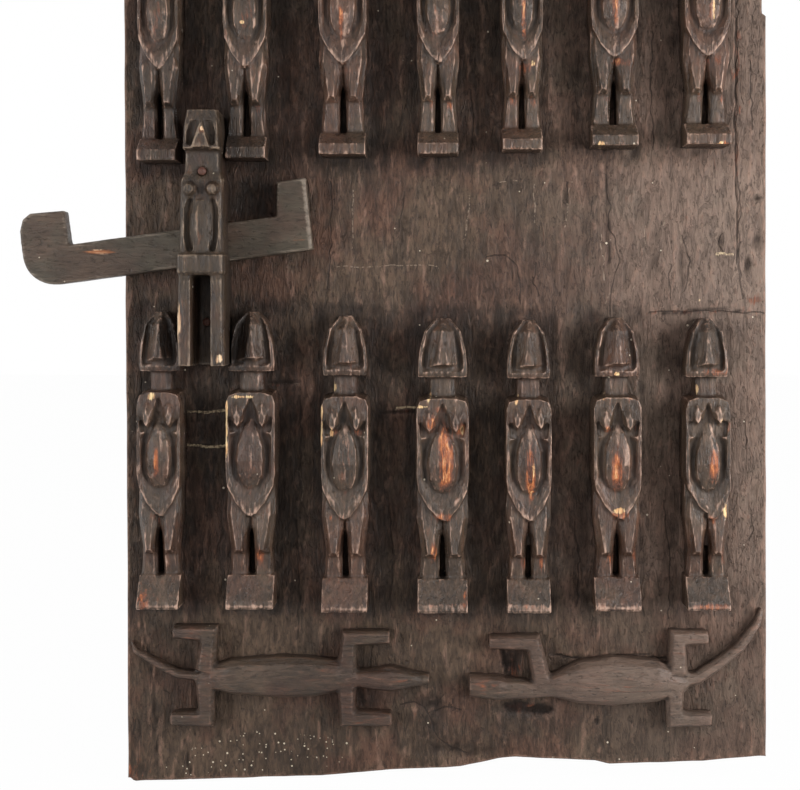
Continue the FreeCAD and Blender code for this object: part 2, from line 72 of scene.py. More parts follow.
# %% [markdown]
# ## Reading places from the photograph
#
# A few marks on the wood are placed by the pixel where they show. The camera looks straight at the door,
# so a pixel becomes a place by one rule: its distance from the point that the camera faces, times the size
# of a pixel at the plank's front. A mark that stands nearer to the camera is drawn a little further out,
# and the rule takes that back. It could be done with ray casts, but a straight view needs only this.

# %% From pixels to places
photo_width = 800
photo_height = 790
pixel = 0.8 * MM
door_low, door_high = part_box("door_panel")
front = door_low.y
camera_distance = 1040 * MM
faced_pixel_x = 443
faced_pixel_y = 304
middle_pixel_x = 444.5
bottom_pixel_y = 783.5
faced_x = (faced_pixel_x - middle_pixel_x) * pixel
faced_z = door_low.z + (bottom_pixel_y - faced_pixel_y) * pixel


def place(pixel_x, pixel_y, rise=0.0):
    """The point that a pixel shows, at a height in front of the plank."""
    nearer = (camera_distance - rise) / camera_distance
    x = faced_x + (pixel_x - faced_pixel_x) * pixel * nearer
    z = faced_z + (faced_pixel_y - pixel_y) * pixel * nearer
    return Vector((x, front - rise, z))


print("the camera faces", round(faced_x / MM, 1), round(faced_z / MM, 1), "mm")

# %% [markdown]
# ## Camera
#
# The photograph is a cut-out taken square on, with the camera in front of the door's middle and the frame
# shifted down and to the left. A shifted lens keeps the door's edges parallel, where turning the camera
# would make them lean, so the shift is how the frame is matched.

# %% Camera
sensor = 36.0
frame_span = photo_width * pixel
camera_data = bpy.data.cameras.new("camera")
camera_data.sensor_width = sensor
camera_data.lens = sensor * camera_distance / frame_span
camera_data.shift_x = (photo_width / 2 - faced_pixel_x) / photo_width
camera_data.shift_y = (faced_pixel_y - photo_height / 2) / photo_width
camera = bpy.data.objects.new("camera", camera_data)
camera.location = (faced_x, front - camera_distance, faced_z)
camera.rotation_euler = (math.radians(90), 0, 0)
collection.objects.link(camera)
scene.camera = camera
print("lens", round(camera_data.lens, 1), "mm")

# %% [markdown]
# ## Light, floor and background
#
# Two soft lamps stand left and right of the door at its middle height, which is why each figure has a bright
# rim on both sides and a shadow that falls towards the middle of its gap; painted highlights and painted shade
# on the wood add to both. A weaker lamp stands high in front.
# The floor and the world are white only to the camera and in gloss, so the background is clean without
# flooding the dark wood with light. A plain bright world would be simpler, but it would wash the shadows out.


# %% Lamps
def lamp(name, where, size_x, size_z, power):
    """A soft lamp of a given size, turned towards the middle of the door's back."""
    data = bpy.data.lights.new(name, "AREA")
    data.shape = "RECTANGLE"
    data.size = size_x
    data.size_y = size_z
    data.energy = power
    made = bpy.data.objects.new(name, data)
    made.location = where
    made.rotation_euler = (-Vector(where)).to_track_quat("-Z", "Y").to_euler()
    collection.objects.link(made)


lamp("lamp_left", (-1.40, -0.90, 0.05), 0.5, 0.8, 15)
lamp("lamp_right", (1.12, -0.72, 0.10), 0.4, 0.8, 19)
lamp("lamp_top", (0.0, -1.5, 1.5), 1.2, 0.6, 5)
scene.view_settings.view_transform = "Standard"
print("lamps:", len(bpy.data.lights))


# %% Short ways to add nodes
def add(tree, kind, inputs, **settings):
    made = tree.nodes.new(kind)
    for key, value in settings.items():
        setattr(made, key, value)
    for key, value in inputs.items():
        if isinstance(value, bpy.types.NodeSocket):
            tree.links.new(value, made.inputs[key])
        else:
            made.inputs[key].default_value = value
    return made


def maths(tree, operation, first, second):
    return add(tree, "ShaderNodeMath", {0: first, 1: second}, operation=operation).outputs[0]


def empty_tree(owner):
    """The node tree of a world or a material, cleared."""
    owner.use_nodes = True
    owner.node_tree.nodes.clear()
    return owner.node_tree


# %% World and floor
def white_to_camera(tree):
    """A factor that is 1 for what the camera, a gloss or a pane sees, and 0 for the light itself."""
    rays = add(tree, "ShaderNodeLightPath", {}).outputs
    seen = maths(tree, "MAXIMUM", rays["Is Camera Ray"], rays["Is Glossy Ray"])
    return maths(tree, "MAXIMUM", seen, rays["Is Transmission Ray"])


world = bpy.data.worlds.new("studio")
scene.world = world
tree = empty_tree(world)
fill = add(tree, "ShaderNodeBackground", {"Color": (0.9, 0.93, 1.0, 1), "Strength": 0.22})
white = add(tree, "ShaderNodeBackground", {"Color": (1, 1, 1, 1), "Strength": 1})
share = white_to_camera(tree)
choice = add(tree, "ShaderNodeMixShader", {"Fac": share, 1: fill.outputs[0], 2: white.outputs[0]})
add(tree, "ShaderNodeOutputWorld", {"Surface": choice.outputs[0]})

floor_material = bpy.data.materials.new("pale_floor")
tree = empty_tree(floor_material)
matt = add(tree, "ShaderNodeBsdfDiffuse", {"Color": (0.82, 0.82, 0.82, 1)})
bright = add(tree, "ShaderNodeEmission", {"Strength": 1})
share = maths(tree, "MULTIPLY", white_to_camera(tree), 0.985)
choice = add(tree, "ShaderNodeMixShader", {"Fac": share, 1: matt.outputs[0], 2: bright.outputs[0]})
add(tree, "ShaderNodeOutputMaterial", {"Surface": choice.outputs[0]})

floor_half = 6
floor_gap = 0.4 * MM
bm = bmesh.new()
bmesh.ops.create_grid(bm, x_segments=1, y_segments=1, size=floor_half)
bmesh.ops.translate(bm, verts=bm.verts, vec=(0, 0, door_low.z - floor_gap))
floor_mesh = bpy.data.meshes.new("floor")
bm.to_mesh(floor_mesh)
bm.free()
floor = bpy.data.objects.new("floor", floor_mesh)
floor.data.materials.append(floor_material)
collection.objects.link(floor)
print("floor at", round(floor.data.vertices[0].co.z / MM, 1), "mm")

# %% [markdown]
# ## Marks of the tools
#
# Wood that is cut by hand has two kinds of marks. An adze or a knife leaves shallow scoops with soft ridges
# between them, and the grain leaves fine long furrows. Both are made here as numbers that move the points
# of a mesh along its normals. Displace modifiers could do it, but their patterns can't be stretched along
# the grain as easily, and here one function serves every piece.


# %% Smooth noise and scoops
def hashed(cell, seed):
    """A number from 0 to 1 for each whole-numbered cell, the same on every run."""
    x, y, z = (cell[:, i].astype(np.int64) for i in range(3))
    n = (x * 73856093) ^ (y * 19349663) ^ (z * 83492791) ^ (seed * 26544357)
    n = (n ^ (n >> 13)) * 1274126177
    n = n ^ (n >> 16)
    return (n & 0xFFFFFF) / float(0xFFFFFF)


def wander(points, size, seed):
    """Smooth noise from -1 to 1 whose swells have the given size along x, y and z."""
    p = points / np.array(size)
    cell = np.floor(p)
    part = p - cell
    part = part * part * (3 - 2 * part)
    total = np.zeros(len(points))
    for corner in product((0, 1), repeat=3):
        weight = np.ones(len(points))
        for axis in range(3):
            weight *= part[:, axis] if corner[axis] else 1 - part[:, axis]
        total += weight * hashed(cell + np.array(corner), seed)
    return total * 2 - 1


def swell(points, size, seed):
    """The same smooth noise, from 0 to 1."""
    return 0.5 + 0.5 * wander(points, size, seed)


def scoops(points, size, seed):
    """Shallow hollows with ridges between them: 0 in the middle of a hollow and about 1 on a ridge."""
    p = points / np.array(size)
    cell = np.floor(p)
    nearest = np.full(len(points), 9.0)
    for corner in product((-1, 0, 1), repeat=3):
        neighbour = cell + np.array(corner)
        offset = np.stack([hashed(neighbour, seed + i) for i in range(3)], axis=1)
        gap = ((neighbour + offset - p) ** 2).sum(axis=1)
        nearest = np.minimum(nearest, gap)
    return np.minimum(nearest, 1.0)


# %% Points of a mesh as arrays
def rows_of(items, key, width, kind):
    """The numbers of all points or edges of a mesh, one row for each."""
    flat = np.empty(len(items) * width, kind)
    items.foreach_get(key, flat)
    return flat.reshape(-1, width)


def points_of(mesh):
    return rows_of(mesh.vertices, "co", 3, np.float32).astype(float)


def normals_of(mesh):
    return rows_of(mesh.vertex_normals, "vector", 3, np.float32).astype(float)


def edges_of(mesh):
    return rows_of(mesh.edges, "vertices", 2, np.int32)


def set_points(mesh, points):
    mesh.vertices.foreach_set("co", points.astype(np.float32).ravel())
    mesh.update()


def relaxed(points, edges, rounds):
    """Points drawn half way to the mean of their neighbours, a few times."""
    count = np.bincount(edges.ravel(), minlength=len(points)).astype(float)
    result = points.copy()
    for _ in range(rounds):
        mean = np.zeros_like(result)
        for axis in range(3):
            mean[:, axis] += np.bincount(edges[:, 0], result[edges[:, 1], axis], len(points))
            mean[:, axis] += np.bincount(edges[:, 1], result[edges[:, 0], axis], len(points))
        mean /= count[:, None]
        result += 0.5 * (mean - result)
    return result


def paint(mesh, name, values):
    """Stores one number per point, for a material to read."""
    layer = mesh.attributes.new(name, "FLOAT", "POINT")
    layer.data.foreach_set("value", values.astype(np.float32))


def low_sides(points, normals, relief):
    """Painted shade on a relief: darker on its sides, and most of all near the plank."""
    rise = np.clip((front - points[:, 1]) / relief, 0, 1)
    sideways = np.clip(1.0 + normals[:, 1] * 0.9, 0.15, 1)
    return np.clip(1.05 - 1.35 * rise, 0, 1) * sideways


def bend(points, normals, edges, rounds, reach):
    """How much each point stands out from its smoothed surroundings: above 0 on edges, below 0 in creases."""
    out = points - relaxed(points, edges, rounds)
    return (out * normals).sum(axis=1) / reach


# %% [markdown]
# ## Carved pieces
#
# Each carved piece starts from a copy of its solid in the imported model, so it stays at its place and size.
# Its loose facets are merged, and a voxel remesh turns them into one even skin that can take marks. The
# sharp facets are then softened a little, as handling does, and the scoops, grain and dents are cut in.
# Modelling each figure again from zero would give the same forms twice, so the copy is the better start.


# %% Copy, remesh and mark
def finished_mesh(bm, name, modifiers):
    """A mesh made from a bmesh, with the given modifiers applied."""
    mesh = bpy.data.meshes.new(name + "_rough")
    bm.to_mesh(mesh)
    bm.free()
    rough = bpy.data.objects.new(name + "_rough", mesh)
    collection.objects.link(rough)
    for kind, settings in modifiers:
        modifier = rough.modifiers.new(kind.lower(), kind)
        for key, value in settings.items():
            setattr(modifier, key, value)
    graph = bpy.context.evaluated_depsgraph_get()
    made = bpy.data.meshes.new_from_object(rough.evaluated_get(graph))
    bpy.data.objects.remove(rough)
    made.name = name
    return made


def copy_of(node):
    """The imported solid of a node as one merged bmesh."""
    bm = bmesh.new()
    bm.from_mesh(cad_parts[node].data)
    bmesh.ops.remove_doubles(bm, verts=bm.verts, dist=0.002 * MM)
    return bm


def skinned(node, voxel):
    """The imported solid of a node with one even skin."""
    remesh = {"mode": "VOXEL", "voxel_size": voxel, "use_smooth_shade": True}
    return finished_mesh(copy_of(node), node + "_carved", [("REMESH", remesh)])


root_depth = 6.0 * MM
back_band = 0.6 * MM


def set_into_plank(points):
    """Lets the flat back of a relief piece reach a little into the plank, so that no gap shows round it."""
    moved = points.copy()
    moved[points[:, 1] > front - back_band, 1] += root_depth
    return moved


def add_piece(name, mesh, body, nodes, material):
    """Puts a finished mesh in the scene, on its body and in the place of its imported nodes."""
    made = bpy.data.objects.new(name, mesh)
    collection.objects.link(made)
    mesh.materials.clear()
    mesh.materials.append(material)
    for polygon in mesh.polygons:
        polygon.use_smooth = True
    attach(made, body)
    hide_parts(*nodes)


# %% Soft spots and lines by pixel
def pixels_of(points):
    """Where the camera sees each point, in the photograph's pixels."""
    nearer = (camera_distance - (front - points[:, 1])) / camera_distance
    x = faced_pixel_x + (points[:, 0] - faced_x) / (pixel * nearer)
    y = faced_pixel_y - (points[:, 2] - faced_z) / (pixel * nearer)
    return x, y


def spots(points, places):
    """The sum of soft spots, each given as pixel x, pixel y, half width, half height and strength."""
    x, y = pixels_of(points)
    total = np.zeros(len(points))
    for spot_x, spot_y, half_width, half_height, strength in places:
        gap = np.sqrt(((x - spot_x) / half_width) ** 2 + ((y - spot_y) / half_height) ** 2)
        total += strength * np.clip(1.5 - gap, 0, 1)
    return total


def line_gap(x, y, line):
    """The distance of each pixel from a line of pixels."""
    nearest = np.full(len(x), 1e9)
    for (ax, ay), (bx, by) in zip(line[:-1], line[1:]):
        run_x, run_y = bx - ax, by - ay
        along = np.clip(((x - ax) * run_x + (y - ay) * run_y) / (run_x ** 2 + run_y ** 2), 0, 1)
        nearest = np.minimum(nearest, np.hypot(x - ax - along * run_x, y - ay - along * run_y))
    return nearest


# %% Knife marks, dents and paint
def cut_marks(mesh, scoop, scoop_depth, grain, grain_depth, dents, seed, softened=2):
    """Softens a skin, then cuts scoops, grain and dents into it, always inwards."""
    points = relaxed(points_of(mesh), edges_of(mesh), softened)
    set_points(mesh, points)
    normals = normals_of(mesh)
    low = points.min(axis=0)
    facing = np.clip(-normals[:, 1], 0, 1)
    depth = scoop_depth * (1 - scoops(points, scoop, seed))
    depth += grain_depth * swell(points, grain, seed + 5)
    depth += facing * spots(points, dents) * MM
    points = points - normals * depth[:, None]
    points[:, 1] = np.maximum(points[:, 1], low[1])
    return points, normals


def paint_wear_and_light(mesh, points, rubs, bares, painted_shade, light_lines=()):
    """Moves a mesh to its carved points and stores its painted shade, its creases, where it is rubbed and bare,
    and how light its edges are drawn, partly as wear and partly as a painted highlight.

    Each light line is a line of pixels drawn lighter, mostly as a painted highlight and along the forearms
    also as wear, with its half width and strength.
    """
    set_points(mesh, points)
    normals = normals_of(mesh)
    edges = edges_of(mesh)
    paint(mesh, "painted_shade", np.clip(painted_shade, 0, 1))
    sharp = bend(points, normals, edges, 4, 0.22 * MM)
    wear_and_highlight = 0.85 * sharp + 0.42 * bend(points, normals, edges, 10, 0.55 * MM)
    x, y = pixels_of(points)
    for line, half_width, strength in light_lines:
        wear_and_highlight = wear_and_highlight + strength * np.exp(-(line_gap(x, y, line) / half_width) ** 2)
    paint(mesh, "edge", np.clip(wear_and_highlight, 0, 1.5))
    paint(mesh, "crease", np.clip(-bend(points, normals, edges, 24, 0.9 * MM), 0, 1.5))
    facing = np.clip(0.25 - normals[:, 1], 0, 1)
    paint(mesh, "rub", np.clip(spots(points, rubs) * facing, 0, 1))
    paint(mesh, "bare", np.clip(spots(points, bares) * facing, 0, 1))


# %% [markdown]
# ## Old dark wood
#
# The wood is nearly black brown from smoke and hands. Where it was touched most it is worn back through
# red-brown to orange, first along the edges. The light on the edges is partly that wear and partly a painted
# highlight, the darkening in creases, on the sides of the reliefs and beside them is painted shade, and a broad
# lightening towards the right of the board is painted light. One material could be painted as a picture, but
# noise that is stretched along the grain keeps its detail at every distance, and the numbers stored on the
# points say where it is worn, where it gets painted shade and where painted light. Each kind of wood on the
# door gets its own tones from the same recipe.


# %% Colours and patterns as nodes
def tone(red, green, blue):
    """A colour as a paint chart gives it, from 0 to 255, turned into light."""
    parts = [value / 255 for value in (red, green, blue)]
    light = [p / 12.92 if p <= 0.04045 else ((p + 0.055) / 1.055) ** 2.4 for p in parts]
    return (*light, 1)


def mixed(tree, factor, first, second, blend="MIX"):
    """Two colours mixed by a factor."""
    made = add(tree, "ShaderNodeMix", {"Factor": factor}, data_type="RGBA", blend_type=blend)
    for name, value in (("A", first), ("B", second)):
        socket = [i for i in made.inputs if i.name == name and i.type == "RGBA"][0]
        if isinstance(value, bpy.types.NodeSocket):
            tree.links.new(value, socket)
        else:
            socket.default_value = value
    return [o for o in made.outputs if o.type == "RGBA"][0]


def between(tree, value, low, high, to_low=0.0, to_high=1.0):
    """A value that rises or falls evenly between two limits and stays level beyond them."""
    inputs = {"Value": value, "From Min": low, "From Max": high, "To Min": to_low, "To Max": to_high}
    return add(tree, "ShaderNodeMapRange", inputs, clamp=True).outputs[0]


def grain_noise(tree, coordinates, scale, detail=4.0, rough=0.6, wavering=0.0):
    """Noise with its own scale along x, y and z, in swells per metre."""
    mapped = add(tree, "ShaderNodeMapping", {"Vector": coordinates, "Scale": scale})
    inputs = {"Vector": mapped.outputs[0], "Scale": 1.0, "Detail": detail, "Roughness": rough}
    return add(tree, "ShaderNodeTexNoise", {**inputs, "Distortion": wavering}).outputs["Fac"]


def attribute(tree, name):
    return add(tree, "ShaderNodeAttribute", {}, attribute_name=name).outputs["Fac"]


def crumbs(tree, coordinates, per_metre, radius, share):
    """Small round specks in a share of the cells of a lattice: 1 on a speck."""
    mapped = add(tree, "ShaderNodeMapping", {"Vector": coordinates, "Scale": (per_metre,) * 3})
    cells = add(tree, "ShaderNodeTexVoronoi", {"Vector": mapped.outputs[0], "Scale": 1.0})
    chance = add(tree, "ShaderNodeSeparateColor", {"Color": cells.outputs["Color"]}).outputs[0]
    speck = maths(tree, "LESS_THAN", cells.outputs["Distance"], radius)
    return maths(tree, "MULTIPLY", speck, maths(tree, "LESS_THAN", chance, share))


# %% Wood material
def thin_line(tree, name, wobble, full, gone):
    """A thin line where a signed distance passes through 0, kept only close to a drawn line."""
    gap = maths(tree, "DIVIDE", maths(tree, "ABSOLUTE", attribute(tree, name), 0.0), wobble)
    near = between(tree, attribute(tree, name + "_near"), 2.2, 3.4, 1.0, 0.0)
    return maths(tree, "MULTIPLY", between(tree, gap, full, gone, 1.0, 0.0), near)


def wood(name, tones, along, wear_and_highlight_share, rough, gloss, ridges, flakes, streaky, crease_shade, lined=False):
    """Smoked wood. along is the scale of the grain on x, y and z, with the small number along the grain.

    ridges is how high the grain stands, flakes how much the top layer has flaked off, streaky how much
    the grain shows as colour, and the crease number how dark the painted shade in the creases is.
    """
    deep, dark, middle, pale, edge_tone, rub_deep, rub_tone, bare_tone = [tone(*t) for t in tones]
    material = bpy.data.materials.new(name)
    tree = empty_tree(material)
    at = add(tree, "ShaderNodeTexCoord", {}).outputs["Object"]
    ways = ("MULTIPLY", "ADD", "SUBTRACT", "MAXIMUM")
    times, plus, minus, larger = (partial(maths, tree, way) for way in ways)
    mix, ramp, read = partial(mixed, tree), partial(between, tree), partial(attribute, tree)
    noise, specks = partial(grain_noise, tree, at), partial(crumbs, tree, at)
    fine = noise(tuple(8 + a * 470 for a in along), 5.0, 0.66, 0.7)
    streak = noise(tuple(25 + a * 220 for a in along), 4.0, 0.6, 1.3)
    mottle = noise(tuple(60 + a * 90 for a in along), 9.0, 0.74)
    broad = noise((14, 14, 10), 3.0, 0.55)
    flake = noise(tuple(22 + a * 120 for a in along), 6.0, 0.58, 1.5)
    pits = noise(tuple(170 + a * 330 for a in along), 3.0, 0.6)

    blend = plus(times(mottle, 0.55), times(streak, 0.45))
    colour = mix(ramp(blend, 0.40, 0.60), dark, middle)
    colour = mix(ramp(broad, 0.42, 0.60, 0.0, 0.42), colour, deep)
    green = mix(1.0, colour, tone(244, 246, 236), "MULTIPLY")
    pink = mix(1.0, colour, tone(255, 234, 224), "MULTIPLY")
    # Painted light: where the wood is drawn lighter, the hue turns pinker and the colour goes towards the pale
    # tone.
    painted_light = read("painted_light")
    hue = plus(noise((17, 17, 17), 4.0, 0.6), times(painted_light, 0.2))
    colour = mix(ramp(hue, 0.46, 0.58), green, pink)
    colour = mix(times(painted_light, ramp(mottle, 0.35, 0.6, 0.55, 1.0)), colour, pale)
    lower = ramp(flake, 0.45, 0.47, flakes, 0.0)
    colour = mix(times(lower, 0.25), colour, deep)
    rim = maths(tree, "ABSOLUTE", minus(flake, 0.46), 0.0)
    colour = mix(ramp(rim, 0.0, 0.022, 0.55 * flakes, 0.0), colour, deep)
    fibre = times(ramp(fine, 0.56, 0.68), ramp(streak, 0.42, 0.58, 0.2, 1.0))
    colour = mix(times(fibre, streaky), colour, pale)
    colour = mix(ramp(fine, 0.32, 0.44, 1.1 * streaky, 0.0), colour, deep)
    red = mix(0.5, dark, rub_deep)
    warm = times(ramp(streak, 0.54, 0.72, 0.0, 2.3 * streaky), ramp(mottle, 0.4, 0.6))
    colour = mix(warm, colour, red)
    colour = mix(ramp(pits, 0.60, 0.70, 0.0, 0.55), colour, deep)

    # The edges and the light lines are drawn lighter, partly as wear and partly as a painted highlight.
    edge = read("edge")
    wear_and_highlight = plus(edge, ramp(streak, 0.35, 0.65, -0.35, 0.30))
    wear_and_highlight = times(ramp(wear_and_highlight, 0.36, 1.0), ramp(mottle, 0.42, 0.54, 0.3, 1.0))
    colour = mix(times(wear_and_highlight, wear_and_highlight_share), colour, edge_tone)
    if lined:
        wobble = ramp(fine, 0.3, 0.7, 0.35, 1.1)
        beads = ramp(noise((420, 420, 420), 2.0, 0.5), 0.44, 0.54)
        scratch = times(thin_line(tree, "scratch", wobble, 0.55, 1.05), beads)
        colour = mix(times(scratch, 0.7), colour, scratch_tone)
        crack = thin_line(tree, "crack", wobble, 0.6, 1.2)
        colour = mix(times(crack, 0.6), colour, shade_and_crack_tone)

    rub = times(read("rub"), 1.1)
    rub = plus(rub, ramp(streak, 0.3, 0.7, -0.50, 0.34))
    rub = plus(rub, ramp(mottle, 0.35, 0.65, -0.30, 0.16))
    rub_colour = mix(ramp(rub, 0.55, 1.00), rub_deep, rub_tone)
    core = times(ramp(rub, 0.85, 1.20), ramp(fine, 0.46, 0.58))
    rub_colour = mix(times(core, 0.85), rub_colour, bare_tone)
    rub_colour = mix(ramp(fine, 0.36, 0.50, 0.85, 0.0), rub_colour, rub_deep)
    colour = mix(ramp(rub, 0.30, 0.95, 0.0, 0.95), colour, rub_colour)
    bare = plus(read("bare"), ramp(mottle, 0.35, 0.65, -0.5, 0.3))
    bare = plus(bare, ramp(fine, 0.35, 0.65, -0.25, 0.15))
    bare_colour = mix(ramp(streak, 0.40, 0.56), mix(0.45, rub_tone, bare_tone), bare_tone)
    bare_colour = mix(ramp(fine, 0.38, 0.50, 0.7, 0.0), bare_colour, rub_deep)
    colour = mix(ramp(bare, 0.45, 0.62), colour, bare_colour)

    # Painted shade: the creases are darkened.
    crease = read("crease")
    colour = mix(ramp(crease, 0.08, 0.75, 0.0, crease_shade), colour, deep)
    # Painted shade and painted shadows, darkened towards the shade tone, a little less where the wood is
    # lighter.
    painted_shade = times(read("painted_shade"), ramp(blend, 0.40, 0.60, 1.0, 0.55))
    colour = mix(painted_shade, colour, shade_and_crack_tone)
    if lined:
        saw_line = times(thin_line(tree, "saw_line", wobble, 1.2, 2.0), ramp(beads, 0.0, 0.6, 0.25, 0.8))
        colour = mix(saw_line, colour, saw_tone)
    dust = larger(specks(62, 0.055, 0.16), specks(150, 0.09, 0.05))
    thick_dust = larger(specks(210, 0.16, 0.55), specks(390, 0.2, 0.25))
    thick_dust = times(thick_dust, ramp(read("dust"), 0.2, 0.5))
    colour = mix(larger(times(dust, 0.8), thick_dust), colour, dust_tone)

    roughness = ramp(mottle, 0.38, 0.62, rough - 0.10, rough + 0.12)
    roughness = plus(roughness, ramp(streak, 0.40, 0.60, 0.06, -0.06))
    roughness = minus(roughness, ramp(edge, 0.2, 0.9, 0.0, 0.06))
    roughness = plus(roughness, ramp(crease, 0.1, 0.9, 0.0, 0.25))
    height = plus(times(fine, 0.7), times(mottle, 0.9))
    height = plus(height, times(streak, ridges))
    height = minus(height, times(lower, 0.55))
    height = minus(height, times(ramp(pits, 0.56, 0.72), 0.6))
    if lined:
        height = minus(height, times(crack, 0.9))
        height = minus(height, times(scratch, 0.3))
    relief = add(tree, "ShaderNodeBump", {"Height": height, "Strength": 0.9, "Distance": 0.8 * MM})
    inputs = {"Base Color": colour, "Roughness": roughness, "Normal": relief.outputs[0], "IOR": 1.45}
    shader = add(tree, "ShaderNodeBsdfPrincipled", inputs)
    shader.inputs["Specular IOR Level"].default_value = gloss
    add(tree, "ShaderNodeOutputMaterial", {"Surface": shader.outputs[0]})
    return material


upright = (1.0, 1.0, 0.05)
adzed = (1.0, 1.0, 0.16)
lying = (0.05, 1.0, 1.0)
shade_and_crack_tone = tone(26, 18, 14)
dust_tone = tone(206, 192, 170)
scratch_tone = tone(140, 122, 106)
saw_tone = tone(198, 176, 142)
rust = (118, 62, 40)
orange = (192, 106, 54)
cream = (236, 206, 152)

# %% A wood for each kind of piece
plank_wood = wood(
    "plank_wood",
    [(34, 25, 20), (66, 52, 43), (104, 84, 72), (136, 117, 104), (146, 114, 97), rust, (158, 88, 56),
    (200, 176, 142)],
    along=adzed, wear_and_highlight_share=0.45, rough=0.56, gloss=0.26, ridges=1.7, flakes=0.9, streaky=0.13, crease_shade=0.85,
    lined=True)
figure_wood = wood(
    "figure_wood",
    [(26, 18, 13), (54, 40, 31), (99, 79, 66), (138, 115, 100), (192, 158, 138), rust, orange, cream],
    along=upright, wear_and_highlight_share=0.90, rough=0.36, gloss=0.42, ridges=0.9, flakes=0.45, streaky=0.26, crease_shade=0.50)
reptile_wood = wood(
    "reptile_wood",
    [(34, 25, 20), (62, 49, 41), (96, 78, 67), (124, 105, 92), (146, 114, 97), rust, orange, cream],
    along=lying, wear_and_highlight_share=0.45, rough=0.42, gloss=0.38, ridges=1.0, flakes=0.45, streaky=0.20, crease_shade=0.75)
lock_wood = wood(
    "lock_wood",
    [(24, 16, 11), (43, 32, 24), (74, 59, 47), (106, 88, 72), (160, 138, 117), (126, 78, 52), (200, 142, 98),
    (242, 214, 176)],
    along=upright, wear_and_highlight_share=0.70, rough=0.38, gloss=0.38, ridges=0.9, flakes=0.45, streaky=0.20, crease_shade=0.28)
bolt_wood = wood(
    "bolt_wood",
    [(42, 35, 29), (72, 63, 54), (92, 82, 72), (110, 98, 87), (150, 136, 121), (140, 84, 52), (192, 122, 76),
    (212, 184, 152)],
    along=lying, wear_and_highlight_share=0.60, rough=0.44, gloss=0.36, ridges=0.6, flakes=0.3, streaky=0.05, crease_shade=0.7)
peg_wood = wood(
    "peg_wood",
    [(50, 30, 24), (74, 46, 38), (104, 68, 57), (132, 90, 77), (150, 106, 90), rust, (170, 104, 76), cream],
    along=upright, wear_and_highlight_share=0.5, rough=0.50, gloss=0.36, ridges=0.6, flakes=0.3, streaky=0.1, crease_shade=0.6)
print("wood materials:", len([m for m in bpy.data.materials if m.name.endswith("_wood")]))

# %% [markdown]
# ## The plank
#
# The door leaf is one thick board. Its front starts as a grid, is warped to the board's own outline with
# the worn, wavy foot, and its border is extruded back round a rubbed arris. A coarser grid closes the back,
# joined by a bridge, because the unseen side needs fewer faces. A subdivided cube would be simpler, but it
# would spend as many faces on the back as on the front. Adze strokes, grain, splits, saw lines and rotten
# hollows are then pressed into it.

# %% The board's outline
board = copy_of("door_panel")
board_tree = BVHTree.FromBMesh(board)
board.free()
board_middle = (door_low.y + door_high.y) / 2


def board_edge(start, direction):
    """Where a ray from outside first meets the board."""
    return board_tree.ray_cast(Vector(start), Vector(direction))[0]


samples_x = np.linspace(door_low.x + 6 * MM, door_high.x - 6 * MM, 260)
foot_z = np.array([board_edge((x, board_middle, door_low.z - 1), (0, 0, 1)).z for x in samples_x])
samples_z = np.linspace(door_low.z + 30 * MM, door_high.z - 6 * MM, 300)
left_x = np.array([board_edge((-1, board_middle, z), (1, 0, 0)).x for z in samples_z])
right_x = np.array([board_edge((1, board_middle, z), (-1, 0, 0)).x for z in samples_z])
print("board foot rises", round(float(foot_z.max() - door_low.z) / MM, 1), "mm at most")

# %% Front grid, rubbed arris and back
columns = 236
rows = 330
back_columns = 86
back_rows = 127


def packed_share(count, crowded, width, gain):
    """Evenly spaced shares from 0 to 1, crowded together round one place."""
    share = np.linspace(0, 1, 4000)
    density = 1 + gain * np.exp(-((share - crowded) / width) ** 2)
    total = np.cumsum(density)
    total = (total - total[0]) / (total[-1] - total[0])
    return np.interp(np.linspace(0, 1, count + 1), total, share)


split_share = (place(737, 100).x - door_low.x) / (door_high.x - door_low.x)
across = packed_share(columns, split_share, 0.012, 2.2)
foot_share = 0.13
upwards = packed_share(rows, foot_share, 0.09, 0.5)


def on_outline(u, v, inset, y):
    """The point at share u across and v up the board, with the border drawn in by an inset."""
    z = door_low.z + v * (door_high.z - door_low.z)
    left = np.interp(z, samples_z, left_x) + inset
    right = np.interp(z, samples_z, right_x) - inset
    x = left + u * (right - left)
    foot = np.interp(x, samples_x, foot_z) + inset
    top = door_high.z - inset
    return Vector((x, y, foot + v * (top - foot)))


def grid_on_board(bm, shares_x, shares_z, inset, y):
    """A grid laid on the board's outline, with its shares kept on the points."""
    made = bmesh.ops.create_grid(bm, x_segments=len(shares_x) - 1, y_segments=len(shares_z) - 1, size=0.5)
    keep_u = bm.verts.layers.float["u"]
    keep_v = bm.verts.layers.float["v"]
    for vert in made["verts"]:
        vert[keep_u] = shares_x[round((vert.co.x + 0.5) * (len(shares_x) - 1))]
        vert[keep_v] = shares_z[round((vert.co.y + 0.5) * (len(shares_z) - 1))]
        vert.co = on_outline(vert[keep_u], vert[keep_v], inset, y)
    return made["verts"]


